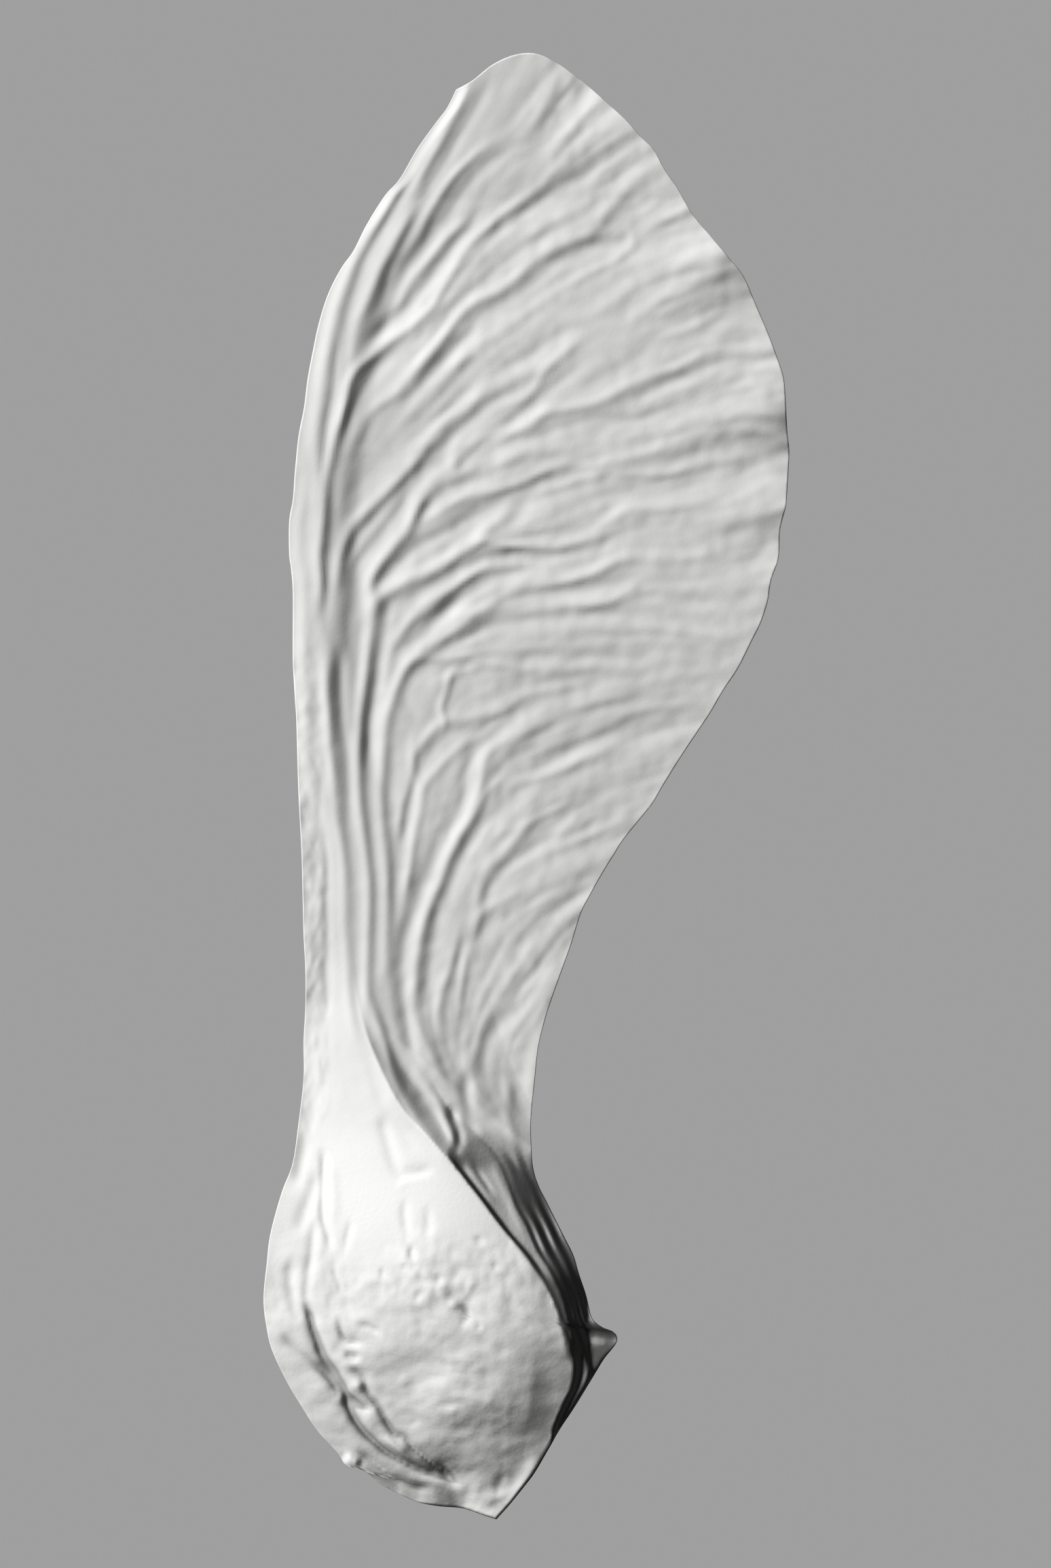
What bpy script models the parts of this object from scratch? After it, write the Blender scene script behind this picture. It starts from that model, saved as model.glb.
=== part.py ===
"""Maple samara: one winged seed, 40 mm long, lying flat on a surface.

The nutlet is at -Y, the wing runs to +Y and +Z is up. All sizes below are in millimetres.
The sheet of the upper face is a grid fitted between the edges, raised by formulas and
thinned out where it is plain. The same sheet, pulled down, closes the body underneath.
"""

import bmesh
import bpy
import numpy as np

MM = 0.001

# Driving dimensions
NUTLET_RISE = 1.83
BELLY_DEPTH = 2.35
FLANGE_HEIGHT = 2.1
FLANGE_THICKNESS = 0.65
WING_THICKNESS = 0.78
LEADING_EXTRA = 0.17
LEADING_STRIP = 1.9
LEADING_STRIP_AT_NECK = 2.6
LEADING_SLOPE = 0.9
LEADING_NARROWS_Y = -3.0
LEADING_NARROWS_OVER = 5.0
LEADING_START_Y = -9.0
LEADING_FADE = 4.0
LEADING_UNDER_SHARE = 0.3
NECK_Y = -9.0
LANDING_Y = 16.0
WING_FALL = 1.6
SOFT_SHARE = 0.35
NUTLET_END_Y = -8.0
NUTLET_FADE = 3.0
WING_LEAN = 0.75
LEAN_START = 5.0
LEAN_END_Y = 15.0
LEAN_FADE = 6.0
LOBE_WAVE = 0.1
LOBE_WAVELENGTH = 3.4
LOBE_START_Y = -4.0
LOBE_FADE = 6.0
UNDERSIDE_SHARE = 0.5
VEIN_HEIGHT = 0.12

# Sheet
ACROSS = 120
ALONG = 330
FACES_KEPT = 5200

# Plan outline, each edge from the nutlet towards the tip
LEADING_EDGE = [
    (-3.6, -19.25), (-4.95, -18.45), (-5.8, -17.45), (-6.55, -16.25), (-7.1, -14.8), (-7.2, -13.6),
    (-6.95, -12.0), (-6.4, -10.3), (-6.1, -8.0), (-6.05, -5.2), (-6.2, -1.0), (-6.38, 3.0),
    (-6.5, 6.8), (-6.27, 9.3), (-5.97, 11.2), (-5.66, 12.7), (-5.1, 14.1), (-4.4, 15.3),
    (-3.65, 16.4), (-3.0, 17.4), (-2.35, 18.35), (-1.9, 19.0),
]
TRAILING_EDGE = [
    (-0.85, -20.0), (-0.1, -19.1), (0.9, -17.5), (1.85, -16.0), (2.3, -15.35), (2.45, -15.08),
    (2.2, -14.82), (1.8, -14.5), (1.6, -13.9), (1.2, -12.7), (0.6, -11.5), (0.18, -10.5),
    (0.1, -9.5), (0.2, -8.0), (0.55, -6.2), (1.25, -4.2), (2.15, -2.2), (3.4, -0.5),
    (4.6, 1.4), (5.75, 3.2), (6.5, 4.9), (6.9, 7.0), (7.2, 9.1), (7.05, 10.8),
    (6.55, 12.4), (5.85, 13.9), (4.75, 15.3), (4.1, 16.3), (3.45, 17.3), (2.65, 18.2), (1.6, 19.15),
]
BASE_EDGE = [(-3.6, -19.25), (-2.9, -19.55), (-2.0, -19.68), (-1.3, -19.85), (-0.85, -20.0)]
TIP_EDGE = [(-1.9, 19.0), (-1.1, 19.58), (-0.4, 19.93), (0.2, 20.03), (0.75, 19.75), (1.6, 19.15)]

# Nutlet: the summit of its shell and how far the shell reaches to each side of it
SUMMIT = (-0.55, -13.7)
SHELL_REACH_ACROSS = 7.5
SHELL_REACH_WING = 8.8
SHELL_REACH_BASE = 6.0
BELLY_CENTRE = (-2.3, -13.6)
BELLY_REACH = (4.4, 5.6)
BELLY_ROUNDNESS = 0.8
SHELL_BEND = (1.9, 2.25)
SHELL_FULLNESS = (1.6, 1.28)
SHELL_LEAN = 1.2
SHOULDER_RISE = 0.9
SHOULDER_START_Y = -13.0
SHOULDER_END_Y = -4.0
SHOULDER_FADE_NUTLET = 3.0
SHOULDER_FADE_WING = 5.0
SHOULDER_BLEND = 3
SHOULDER_SLOPE_WIDTH = 3.6
SHOULDER_SLOPE_SOFTNESS = 0.5

# Side face: a small step at the crest, a folded band and a steep face
STEP_DROP = 0.35
STEP_WIDTH = 0.22
BAND_DROP = 0.3
BAND_WIDTH = 0.7
BAND_LIMIT = 0.55
FACE_ROOM = 0.2
FACE_CURVE = 0.7
FACE_START_Y = -9.2
FACE_FADE = 1.5
NARROWEST = 0.3

# The crest where the shell breaks off, and the heights along the edge beside it
CREST = [
    (-4.95, -3.0), (-4.75, -5.0), (-4.45, -6.5), (-4.0, -7.7), (-3.4, -8.8), (-2.75, -9.6),
    (-2.1, -10.35), (-1.4, -11.2), (-0.65, -12.1), (0.1, -13.0), (0.62, -13.9), (1.05, -15.0),
    (1.2, -15.9), (0.95, -16.8), (0.3, -17.9), (-0.35, -18.9), (-1.1, -19.9),
]
SIDE_TOP = [(2.75, -8.0), (2.4, -12.0), (2.5, -14.0), (2.7, -16.0), (2.6, -18.0), (2.6, -20.0)]
SIDE_FOOT = [(2.1, -9.0), (1.6, -12.0), (1.4, -14.0), (1.2, -16.0), (1.3, -18.0), (1.8, -20.0)]

# Relief: the share of a line's length over which it fades, and its height at the very end
VEIN_FADE = 0.15
VEIN_END_SHARE = 0.35
# Strength, half width and line of each vein; a furrow has a negative strength
VEINS = [
    (-1.2, 0.24, [(-3.2, -9.8), (-3.9, -8.6), (-4.35, -7.1), (-4.65, -5.0), (-4.8, -2.0), (-4.95, 0.5),
                  (-5.0, 2.8), (-4.85, 4.2), (-4.62, 5.9)]),
    (-0.75, 0.20, [(-5.6, -0.6), (-5.45, -2.8), (-5.28, -4.8), (-5.1, -6.3)]),
    (-0.75, 0.22, [(-3.75, 5.0), (-3.95, 3.6), (-4.25, 1.8), (-4.22, -0.8), (-4.15, -3.4)]),
    (-1.1, 0.22, [(-5.5, 4.6), (-5.38, 6.6), (-5.2, 8.3), (-4.88, 9.7), (-4.4, 10.9), (-3.65, 11.8)]),
    (-0.8, 0.20, [(-4.95, 11.0), (-4.85, 13.0), (-4.35, 14.5), (-3.35, 16.3)]),
    (-1, 0.20, [(-2.85, 16.0), (-2.05, 17.35), (-1.2, 18.95)]),
    (-1, 0.20, [(-2.95, 14.5), (-2.1, 15.6), (-1.4, 16.5), (-0.5, 17.3)]),
    (-0.8, 0.22, [(-0.5, 18.1), (0.2, 18.95), (0.37, 19.8)]),
    (-1, 0.24, [(-4.1, 12.2), (-3.15, 13.25), (-2.4, 14.3), (-1.2, 15.7)]),
    (-0.8, 0.24, [(-1.0, 14.8), (0.2, 15.8), (1.75, 16.7), (2.95, 16.95)]),
    (-1, 0.28, [(-2.3, 11.7), (-1.3, 12.7), (-0.2, 13.45), (0.8, 14.2), (2.4, 14.75)]),
    (-0.55, 0.30, [(-4.9, 7.8), (-3.8, 8.9), (-2.7, 9.9), (-1.65, 10.9)]),
    (-0.65, 0.20, [(-4.55, 6.2), (-3.55, 7.5), (-2.9, 8.45), (-2.1, 9.1), (-1.4, 10.1), (0.0, 10.95)]),
    (-0.9, 0.22, [(-4.05, 5.4), (-3.35, 6.25), (-2.35, 6.9), (-0.8, 7.75)]),
    (-0.9, 0.22, [(-3.1, 5.2), (-1.8, 6.0), (-0.5, 6.15), (0.9, 6.15), (2.25, 6.6)]),
    (-0.75, 0.20, [(-3.35, 3.7), (-2.4, 4.5), (-1.35, 5.35), (-0.3, 5.7)]),
    (-0.75, 0.20, [(-2.9, 0.45), (-2.3, 1.2), (-1.4, 1.5)]),
    (-1.35, 0.24, [(-3.1, -7.3), (-3.38, -5.8), (-3.35, -4.3), (-2.6, -2.0), (-1.75, -0.2), (-1.4, 1.0),
                  (0.0, 2.0), (1.4, 3.0), (2.4, 3.1)]),
    (-1, 0.26, [(-2.75, -6.1), (-2.6, -4.6), (-1.95, -2.3), (-0.8, -0.6), (0.6, 0.8), (2.3, 1.6)]),
    (-0.75, 0.24, [(-1.75, -7.2), (-1.45, -5.8), (-0.8, -4.7)]),
    (-0.8, 0.26, [(-1.3, -7.9), (-0.95, -6.85), (-0.2, -6.2)]),
    (-0.8, 0.22, [(-1.15, -3.1), (-0.5, -2.15), (0.4, -1.5)]),
    (-1, 0.20, [(-3.95, -6.3), (-3.05, -8.2), (-2.1, -9.7)]),
    (-0.9, 0.22, [(-2.25, -6.9), (-1.55, -8.65), (-0.85, -9.7)]),
    (-0.65, 0.22, [(0.0, 4.5), (1.7, 4.65), (3.7, 4.6), (4.9, 5.0)]),
    (-0.65, 0.22, [(-0.4, 9.3), (1.6, 9.9), (3.7, 10.2)]),
    (-0.9, 0.20, [(-1.0, 9.7), (0.4, 10.65), (2.2, 11.2), (3.3, 12.1)]),
    (-0.9, 0.24, [(-0.5, 11.35), (0.9, 12.3), (2.7, 13.9)]),
    (-0.8, 0.20, [(2.2, 7.9), (4.1, 8.3), (6.2, 8.6)]),
    (-0.8, 0.22, [(2.7, 6.4), (4.5, 6.45), (5.8, 6.85)]),
    (0.8, 0.20, [(-5.45, 3.4), (-5.72, 5.6), (-5.75, 7.6), (-5.72, 9.4), (-5.3, 12.3), (-4.65, 14.5),
                   (-3.6, 16.15)]),
    (0.8, 0.18, [(-5.45, 3.0), (-5.3, 0.3), (-5.0, -3.0), (-4.8, -6.5)]),
    (0.8, 0.18, [(-4.05, 5.0), (-4.35, 3.5), (-4.58, 1.8), (-4.5, -0.4)]),
    (0.75, 0.18, [(-2.9, 3.5), (-3.55, 2.6), (-3.92, 1.2), (-3.88, -1.8), (-3.85, -5.2)]),
    (0.9, 0.20, [(2.5, 2.38), (0.9, 2.0), (-1.0, 0.95), (-1.38, -0.4), (-2.2, -2.1), (-2.93, -4.2),
                   (-3.03, -5.6)]),
    (0.9, 0.20, [(-4.75, 9.3), (-4.2, 10.25), (-3.0, 11.4), (-1.8, 12.8), (0.2, 14.3), (1.8, 15.1)]),
    (0.8, 0.18, [(-5.15, 5.7), (-4.5, 7.4), (-3.0, 8.9), (-1.3, 10.7)]),
    (0.8, 0.18, [(-4.25, 5.0), (-4.0, 6.1), (-3.1, 7.5), (-1.95, 8.8)]),
    (0.8, 0.18, [(-3.95, 5.1), (-2.3, 6.1), (-0.5, 7.4)]),
    (0.75, 0.18, [(-2.5, 7.45), (-0.9, 7.98), (1.9, 8.78), (4.4, 9.42)]),
    (0.75, 0.18, [(-1.8, 4.6), (-0.5, 5.25), (1.4, 5.65), (2.4, 6.05)]),
    (0.8, 0.18, [(-4.0, 12.05), (-2.5, 13.1), (-1.65, 14.75), (0.8, 16.8)]),
    (0.75, 0.18, [(-0.4, 9.62), (1.2, 10.3), (3.1, 11.12), (5.1, 11.95)]),
    (0.75, 0.18, [(2.2, 7.15), (3.6, 7.6), (5.5, 8.05)]),
    (0.9, 0.18, [(-4.3, -5.8), (-3.7, -7.6), (-2.5, -9.8)]),
    (0.9, 0.20, [(0.1, -4.4), (-0.8, -5.85), (-1.5, -7.5), (-1.2, -8.5)]),
    (0.8, 0.20, [(-0.1, -1.0), (-1.0, -2.15), (-1.42, -4.2)]),
]

MATERIAL_COLOR = (0.64, 0.64, 0.62, 1.0)
MATERIAL_ROUGHNESS = 0.75


def smooth_path(points, steps=12):
    """Points along a Catmull-Rom curve through the given points."""
    p = np.array(points, float)
    p = np.vstack([2 * p[0] - p[1], p, 2 * p[-1] - p[-2]])
    t = np.linspace(0, 1, steps, endpoint=False)[:, None]
    pieces = []
    for a, b, c, d in zip(p, p[1:], p[2:], p[3:]):
        pieces.append(0.5 * (2 * b + (c - a) * t + (2 * a - 5 * b + 4 * c - d) * t ** 2
                             + (3 * b - a - 3 * c + d) * t ** 3))
    return np.vstack(pieces + [p[-2:-1]])


def spread(path, shares):
    """Places on a path at shares of its length."""
    steps = np.hypot(*np.diff(path, axis=0).T)
    length = np.concatenate([[0], np.cumsum(steps)])
    at = shares * length[-1]
    return np.stack([np.interp(at, length, path[:, k]) for k in (0, 1)], axis=-1)


def across_at(points, y):
    """The first value of a smooth curve where it passes height y in the plan."""
    path = smooth_path(points)
    order = np.argsort(path[:, 1])
    return np.interp(y, path[order, 1], path[order, 0])


def ease(t):
    """A smooth step from 0 to 1."""
    t = np.clip(t, 0, 1)
    return t * t * (3 - 2 * t)


def blend(low, high, share):
    return low + (high - low) * share


def rows_by_height(points, rows):
    """Places on an edge whose heights in the plan grow evenly from its foot to its top."""
    path = smooth_path(points)
    heights = path[0, 1] + rows * (path[-1, 1] - path[0, 1])
    return np.stack([np.interp(heights, path[:, 1], path[:, 0]), heights], axis=-1)


def plan_grid(u, v):
    """Plan places of a grid, blended between the four edges (u across, v from base to tip)."""
    lead = rows_by_height(LEADING_EDGE, v[:, 0])[:, None]
    trail = rows_by_height(TRAILING_EDGE, v[:, 0])[:, None]
    base = spread(smooth_path(BASE_EDGE), u[0])[None]
    tip = spread(smooth_path(TIP_EDGE), u[0])[None]
    u = u[..., None]
    v = v[..., None]
    sides = (1 - u) * lead + u * trail
    ends = (1 - v) * base + v * tip
    corners = ((1 - u) * (1 - v) * base[:, :1] + u * (1 - v) * base[:, -1:]
               + (1 - u) * v * tip[:, :1] + u * v * tip[:, -1:])
    return sides + ends - corners


def distance_to_path(x, y, points):
    """Distance from each place to a smooth path, and the share of the path where it is nearest."""
    path = smooth_path(points, 5)
    nearest = np.full(x.shape, np.inf)
    share = np.zeros(x.shape)
    for k, (a, b) in enumerate(zip(path, path[1:])):
        run = b - a
        t = np.clip(((x - a[0]) * run[0] + (y - a[1]) * run[1]) / (run @ run), 0, 1)
        d = np.hypot(x - a[0] - t * run[0], y - a[1] - t * run[1])
        closer = d < nearest
        nearest = np.where(closer, d, nearest)
        share = np.where(closer, (k + t) / (len(path) - 1), share)
    return nearest, share


def relief(x, y):
    """Height of the wing's veins and furrows, which fade out towards their ends."""
    total = np.zeros(x.shape)
    for strength, width, points in VEINS:
        distance, share = distance_to_path(x, y, points)
        fade = ease(share / VEIN_FADE) * ease((1 - share) / VEIN_FADE)
        total += strength * blend(VEIN_END_SHARE, 1, fade) * np.exp(-(distance / width) ** 2)
    return VEIN_HEIGHT * total


def nutlet_shell(x, y, lead_gap):
    """Rise of the nutlet's shell over its flange, with the shoulder that runs up the wing."""
    towards_wing = ease((y - SUMMIT[1]) / SHELL_REACH_BASE + 0.5)
    reach_along = blend(SHELL_REACH_BASE, SHELL_REACH_WING, towards_wing)
    aside = (x - SUMMIT[0]) / SHELL_REACH_ACROSS
    along = (y - SUMMIT[1]) / reach_along
    radius = np.clip(np.hypot(aside, along), 1e-6, 1)
    towards_base = np.clip((1 - along / radius) / 2 + SHELL_LEAN * aside / radius, 0, 1)
    bend = blend(*SHELL_BEND, towards_base)
    fullness = blend(*SHELL_FULLNESS, towards_base)
    dome = NUTLET_RISE * (1 - radius ** bend) ** fullness
    span = np.maximum(across_at(CREST, y) - across_at(LEADING_EDGE, y), NARROWEST)
    fade = ease((y - SHOULDER_START_Y) / SHOULDER_FADE_NUTLET)
    fade = fade * ease((SHOULDER_END_Y - y) / SHOULDER_FADE_WING)
    shoulder = SHOULDER_RISE * np.clip(lead_gap / span, 0, 1) * fade
    return (dome ** SHOULDER_BLEND + shoulder ** SHOULDER_BLEND) ** (1 / SHOULDER_BLEND)


def wing_level(u, y):
    """Height of the wing's underside: it comes down from the nutlet and lands on its tip."""
    share = np.clip((y - NECK_Y) / (LANDING_Y - NECK_Y), 0, 1)
    drop = blend(share ** WING_FALL, ease(share), SOFT_SHARE)
    lean = WING_LEAN * (0.5 - u) * ease((y - NECK_Y) / LEAN_START) * ease((LEAN_END_Y - y) / LEAN_FADE)
    wave = LOBE_WAVE * np.sin(2 * np.pi * (y - LANDING_Y) / LOBE_WAVELENGTH - np.pi / 2)
    on_lobe = ease(3 * u - 2) * ease((y - LOBE_START_Y) / LOBE_FADE)
    return FLANGE_HEIGHT * (1 - drop) + lean + wave * on_lobe


def side_face(shell_top, edge_top, gap, room):
    """Height past the crest: a step, a folded band and a steep face down to the edge."""
    band_end = np.minimum(STEP_WIDTH + BAND_WIDTH, BAND_LIMIT * room)
    brink = shell_top - STEP_DROP * ease(gap / STEP_WIDTH)
    brink = brink - BAND_DROP * np.clip((gap - STEP_WIDTH) / BAND_WIDTH, 0, 1)
    fall = np.clip((gap - band_end) / np.maximum(room - band_end, FACE_ROOM), 0, 1)
    return blend(brink, edge_top, fall ** FACE_CURVE)


def sheet_heights(x, y, u):
    """Heights of the upper face and the underside over the plan."""
    level = wing_level(u, y)
    lead_gap = x - across_at(LEADING_EDGE, y)
    narrowing = ease((y - LEADING_NARROWS_Y) / LEADING_NARROWS_OVER)
    strip_end = blend(LEADING_STRIP_AT_NECK, LEADING_STRIP, narrowing)
    strip = LEADING_EXTRA * ease((strip_end - lead_gap) / LEADING_SLOPE)
    strip = strip * ease((y - LEADING_START_Y) / LEADING_FADE)
    gap = x - across_at(CREST, y)
    room = np.maximum(across_at(TRAILING_EDGE, y) - across_at(CREST, y), NARROWEST)
    nutlet_share = ease((NUTLET_END_Y - y) / NUTLET_FADE)

    plain_top = blend(level + WING_THICKNESS + strip, FLANGE_HEIGHT + FLANGE_THICKNESS, nutlet_share)
    shell_top = plain_top + nutlet_shell(x, y, lead_gap)
    steep = side_face(shell_top, across_at(SIDE_TOP, y), gap, room)
    fall = np.clip(gap / SHOULDER_SLOPE_WIDTH, 0, 1)
    gentle = blend(shell_top, plain_top, blend(fall, ease(fall), SHOULDER_SLOPE_SOFTNESS))
    face_share = ease((FACE_START_Y - y) / FACE_FADE)
    veins = relief(x, y)
    top = np.where(gap > 0, blend(gentle, steep, face_share), shell_top) + veins

    radius = np.hypot((x - BELLY_CENTRE[0]) / BELLY_REACH[0], (y - BELLY_CENTRE[1]) / BELLY_REACH[1])
    belly = FLANGE_HEIGHT - BELLY_DEPTH * np.clip(1 - radius ** 2, 0, 1) ** BELLY_ROUNDNESS
    belly = blend(belly, across_at(SIDE_FOOT, y), ease(gap / room))
    under = blend(level - LEADING_UNDER_SHARE * strip, belly, nutlet_share)
    under = under + UNDERSIDE_SHARE * veins * (1 - nutlet_share)
    return top, np.maximum(under, 0)


def new_collection(name):
    collection = bpy.data.collections.new(name)
    bpy.context.scene.collection.children.link(collection)
    return collection


def clear_scene():
    for obj in list(bpy.data.objects):
        bpy.data.objects.remove(obj)


def samara_material():
    material = bpy.data.materials.new("dry_samara")
    material.use_nodes = True
    shader = material.node_tree.nodes["Principled BSDF"]
    shader.inputs["Base Color"].default_value = MATERIAL_COLOR
    shader.inputs["Roughness"].default_value = MATERIAL_ROUGHNESS
    shader.inputs["Metallic"].default_value = 0.0
    return material


def grid_sheet():
    """The upper face as a fine grid, with the corrected plan and its heights."""
    sheet = bmesh.new()
    bmesh.ops.create_grid(sheet, x_segments=ACROSS, y_segments=ALONG, size=0.5)
    sheet.verts.ensure_lookup_table()
    flat = np.array([vert.co[:2] for vert in sheet.verts]) + 0.5
    order = np.lexsort((flat[:, 0].round(5), flat[:, 1].round(5)))
    u = flat[order, 0].reshape(ALONG + 1, ACROSS + 1)
    v = flat[order, 1].reshape(ALONG + 1, ACROSS + 1)
    plan = plan_grid(u, v)
    x, y = plan[..., 0], plan[..., 1]
    top, _ = sheet_heights(x, y, u)
    places = np.stack([x, y, top], axis=-1).reshape(-1, 3) * MM
    for index, place in zip(order, places):
        sheet.verts[index].co = place
    mesh = bpy.data.meshes.new("sheet")
    sheet.to_mesh(mesh)
    sheet.free()
    return mesh


def thinned(mesh):
    """The sheet with fewer, well placed triangles."""
    obj = bpy.data.objects.new("sheet", mesh)
    bpy.context.scene.collection.objects.link(obj)
    thin = obj.modifiers.new("thin", "DECIMATE")
    thin.ratio = FACES_KEPT / (2 * ACROSS * ALONG)
    thin.use_collapse_triangulate = True
    graph = bpy.context.evaluated_depsgraph_get()
    result = bpy.data.meshes.new_from_object(obj.evaluated_get(graph))
    bpy.data.objects.remove(obj)
    return result


def close_body(mesh):
    """Pulls a copy of the sheet down to the underside, with walls along the outline."""
    body = bmesh.new()
    body.from_mesh(mesh)
    upper = list(body.faces)
    copy = bmesh.ops.extrude_face_region(body, geom=upper)
    under = [item for item in copy["geom"] if isinstance(item, bmesh.types.BMVert)]
    plan = np.array([vert.co[:2] for vert in under]) / MM
    lead = across_at(LEADING_EDGE, plan[:, 1])
    trail = across_at(TRAILING_EDGE, plan[:, 1])
    u = np.clip((plan[:, 0] - lead) / np.maximum(trail - lead, 0.5), 0, 1)
    _, heights = sheet_heights(plan[:, 0], plan[:, 1], u)
    for vert, height in zip(under, heights):
        vert.co.z = height * MM
    bmesh.ops.recalc_face_normals(body, faces=body.faces)
    body.to_mesh(mesh)
    body.free()
    return mesh


def main():
    clear_scene()
    parts = new_collection("maple_samara")
    mesh = close_body(thinned(grid_sheet()))
    mesh.name = "samara"
    samara = bpy.data.objects.new("samara", mesh)
    samara.data.materials.append(samara_material())
    parts.objects.link(samara)


main()
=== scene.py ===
"""A dry maple samara, lying flat: veined wing, wrinkled nutlet, its skin, and a small studio.

The nutlet is at -Y, the wing runs to +Y and +Z is up. The form is worked out in millimetres
over the plan and laid into the mesh in metres.
"""

import math

import bpy
import numpy as np
from bpy.props import FloatProperty, FloatVectorProperty, IntProperty, PointerProperty
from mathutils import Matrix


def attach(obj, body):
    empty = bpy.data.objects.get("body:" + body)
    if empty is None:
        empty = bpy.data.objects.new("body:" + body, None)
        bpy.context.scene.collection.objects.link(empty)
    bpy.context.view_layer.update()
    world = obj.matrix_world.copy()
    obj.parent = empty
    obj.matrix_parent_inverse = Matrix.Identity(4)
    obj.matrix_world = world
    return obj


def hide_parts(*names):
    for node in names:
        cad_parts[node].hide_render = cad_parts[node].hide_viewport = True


bl_info = {
    "name": "Maple samara",
    "version": (1, 0, 0),
    "blender": (4, 5, 0),
    "location": "3D View > Sidebar > Samara",
    "description": "Builds a dry maple samara with its veined wing, and the studio it lies in",
    "category": "Object",
}

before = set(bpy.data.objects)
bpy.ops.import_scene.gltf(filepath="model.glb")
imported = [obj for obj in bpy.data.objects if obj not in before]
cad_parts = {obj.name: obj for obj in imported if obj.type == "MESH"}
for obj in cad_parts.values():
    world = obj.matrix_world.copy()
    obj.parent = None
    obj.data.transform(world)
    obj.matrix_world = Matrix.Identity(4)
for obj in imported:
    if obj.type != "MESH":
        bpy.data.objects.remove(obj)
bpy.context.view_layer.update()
MM = 0.001

# Studio: the view's centre, length and level in millimetres, and angles in degrees
VIEW_CENTRE = (-0.056, 0.037)
VIEW_LENGTH = 42.76
VIEW_LEVEL = 1.5
LIGHT_AZIMUTH = 145.0
LIGHT_SPREAD = 14.0
LOW_ANGLE = 22.5
HIGH_ANGLE = 47.0
BACKDROP = 0.352
# Places and sizes in metres
FLOOR_SIZE = 8.0
FLOOR_LEVEL = -0.00001
LAMP_HEIGHT = 0.5
CLIP_START = 0.01
CLIP_END = 10.0

# Skin: the patches of painted highlight on the shoulder and of painted shade on the lower lobe, as
# centre, core and reach in millimetres, and spots to the millimetre
SHOULDER_HIGHLIGHT_PATCH = ((-3.8, -10.6, 3.6), 1.0, 3.5)
LOBE_SHADE_PATCH = ((2.2, 0.6, 2.0), 1.5, 4.5)
BLOTCH_SPOTS = 0.35
GRAIN_SPOTS = 9.0
# How much of the darker colour shows all over and in blotches as the skin's own tone, how much less on
# the shoulder as a painted highlight, and how much more on the lower lobe as painted shade
SKIN_DULLNESS = 0.1
BLOTCH_DULLNESS = 0.2
SHOULDER_PAINTED_HIGHLIGHT = 0.2
LOBE_PAINTED_SHADE = 0.14
ROUGHNESS_SPREAD = 0.12
SHELL_ROUGHNESS = 0.06
SHEEN = 0.25
GRAIN_ON_WING = 0.6
MORE_GRAIN_ON_SHELL = 0.6

# Plan outline, each edge from the nutlet towards the tip
LEADING_EDGE = [
    (-3.6, -19.25), (-4.05, -19.0), (-4.45, -18.66), (-4.95, -18.5), (-5.15, -18.2), (-5.7, -17.6),
    (-6.1, -17.0), (-6.55, -16.25), (-6.95, -15.4), (-7.1, -14.8), (-7.19, -14.0), (-7.1, -13.0),
    (-7.0, -12.2), (-6.7, -11.1), (-6.4, -10.3), (-6.25, -9.3), (-6.1, -8.0), (-6.1, -7.0),
    (-6.05, -6.0), (-6.05, -5.0), (-6.1, -4.0), (-6.15, -2.0), (-6.2, -1.0), (-6.25, 0.0),
    (-6.3, 1.7), (-6.35, 2.5), (-6.4, 3.5), (-6.4, 5.2), (-6.45, 5.9), (-6.5, 6.3), (-6.5, 7.2),
    (-6.4, 7.8), (-6.35, 8.5), (-6.25, 9.5), (-6.1, 10.3), (-6.0, 11.1), (-5.85, 11.9),
    (-5.7, 12.6), (-5.45, 13.4), (-5.1, 14.1), (-4.75, 14.6), (-4.4, 15.3), (-3.9, 16.1),
    (-3.5, 16.55), (-3.0, 17.4), (-2.5, 18.1), (-2.2, 18.5), (-1.95, 19.0),
]
TRAILING_EDGE = [
    (-0.85, -19.99), (-0.5, -19.6), (-0.1, -19.1), (0.2, -18.7), (0.55, -18.1), (0.9, -17.5),
    (1.3, -16.9), (1.85, -16.0), (2.1, -15.6), (2.35, -15.3), (2.45, -15.1), (2.35, -14.9),
    (2.0, -14.75), (1.75, -14.5), (1.6, -13.9), (1.4, -13.3), (1.25, -12.8), (1.0, -12.3),
    (0.75, -11.8), (0.5, -11.3), (0.3, -10.9), (0.15, -10.4), (0.1, -9.7), (0.1, -9.0), (0.2, -8.0),
    (0.3, -7.1), (0.5, -6.3), (0.7, -5.7), (0.95, -5.0), (1.2, -4.3), (1.45, -3.5), (1.7, -3.0),
    (2.1, -2.3), (2.35, -1.9), (2.6, -1.5), (3.0, -1.0), (3.4, -0.5), (3.7, 0.0), (4.2, 0.8),
    (4.6, 1.4), (5.0, 2.0), (5.35, 2.6), (5.75, 3.2), (6.1, 3.9), (6.35, 4.4), (6.55, 5.0),
    (6.65, 5.6), (6.85, 6.2), (6.9, 7.0), (7.05, 7.6), (7.1, 8.2), (7.15, 9.1), (7.1, 9.6),
    (7.05, 10.5), (7.0, 11.1), (6.85, 11.6), (6.55, 12.4), (6.25, 13.1), (5.9, 13.9), (5.5, 14.4),
    (5.0, 15.0), (4.5, 15.6), (4.1, 16.3), (3.75, 16.8), (3.45, 17.35), (3.1, 17.7), (2.65, 18.2),
    (2.1, 18.7), (1.6, 19.15),
]
BASE_EDGE = [
    (-3.6, -19.25), (-3.0, -19.52), (-2.4, -19.64), (-1.75, -19.7), (-1.2, -19.88), (-0.85, -19.99),
]
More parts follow.
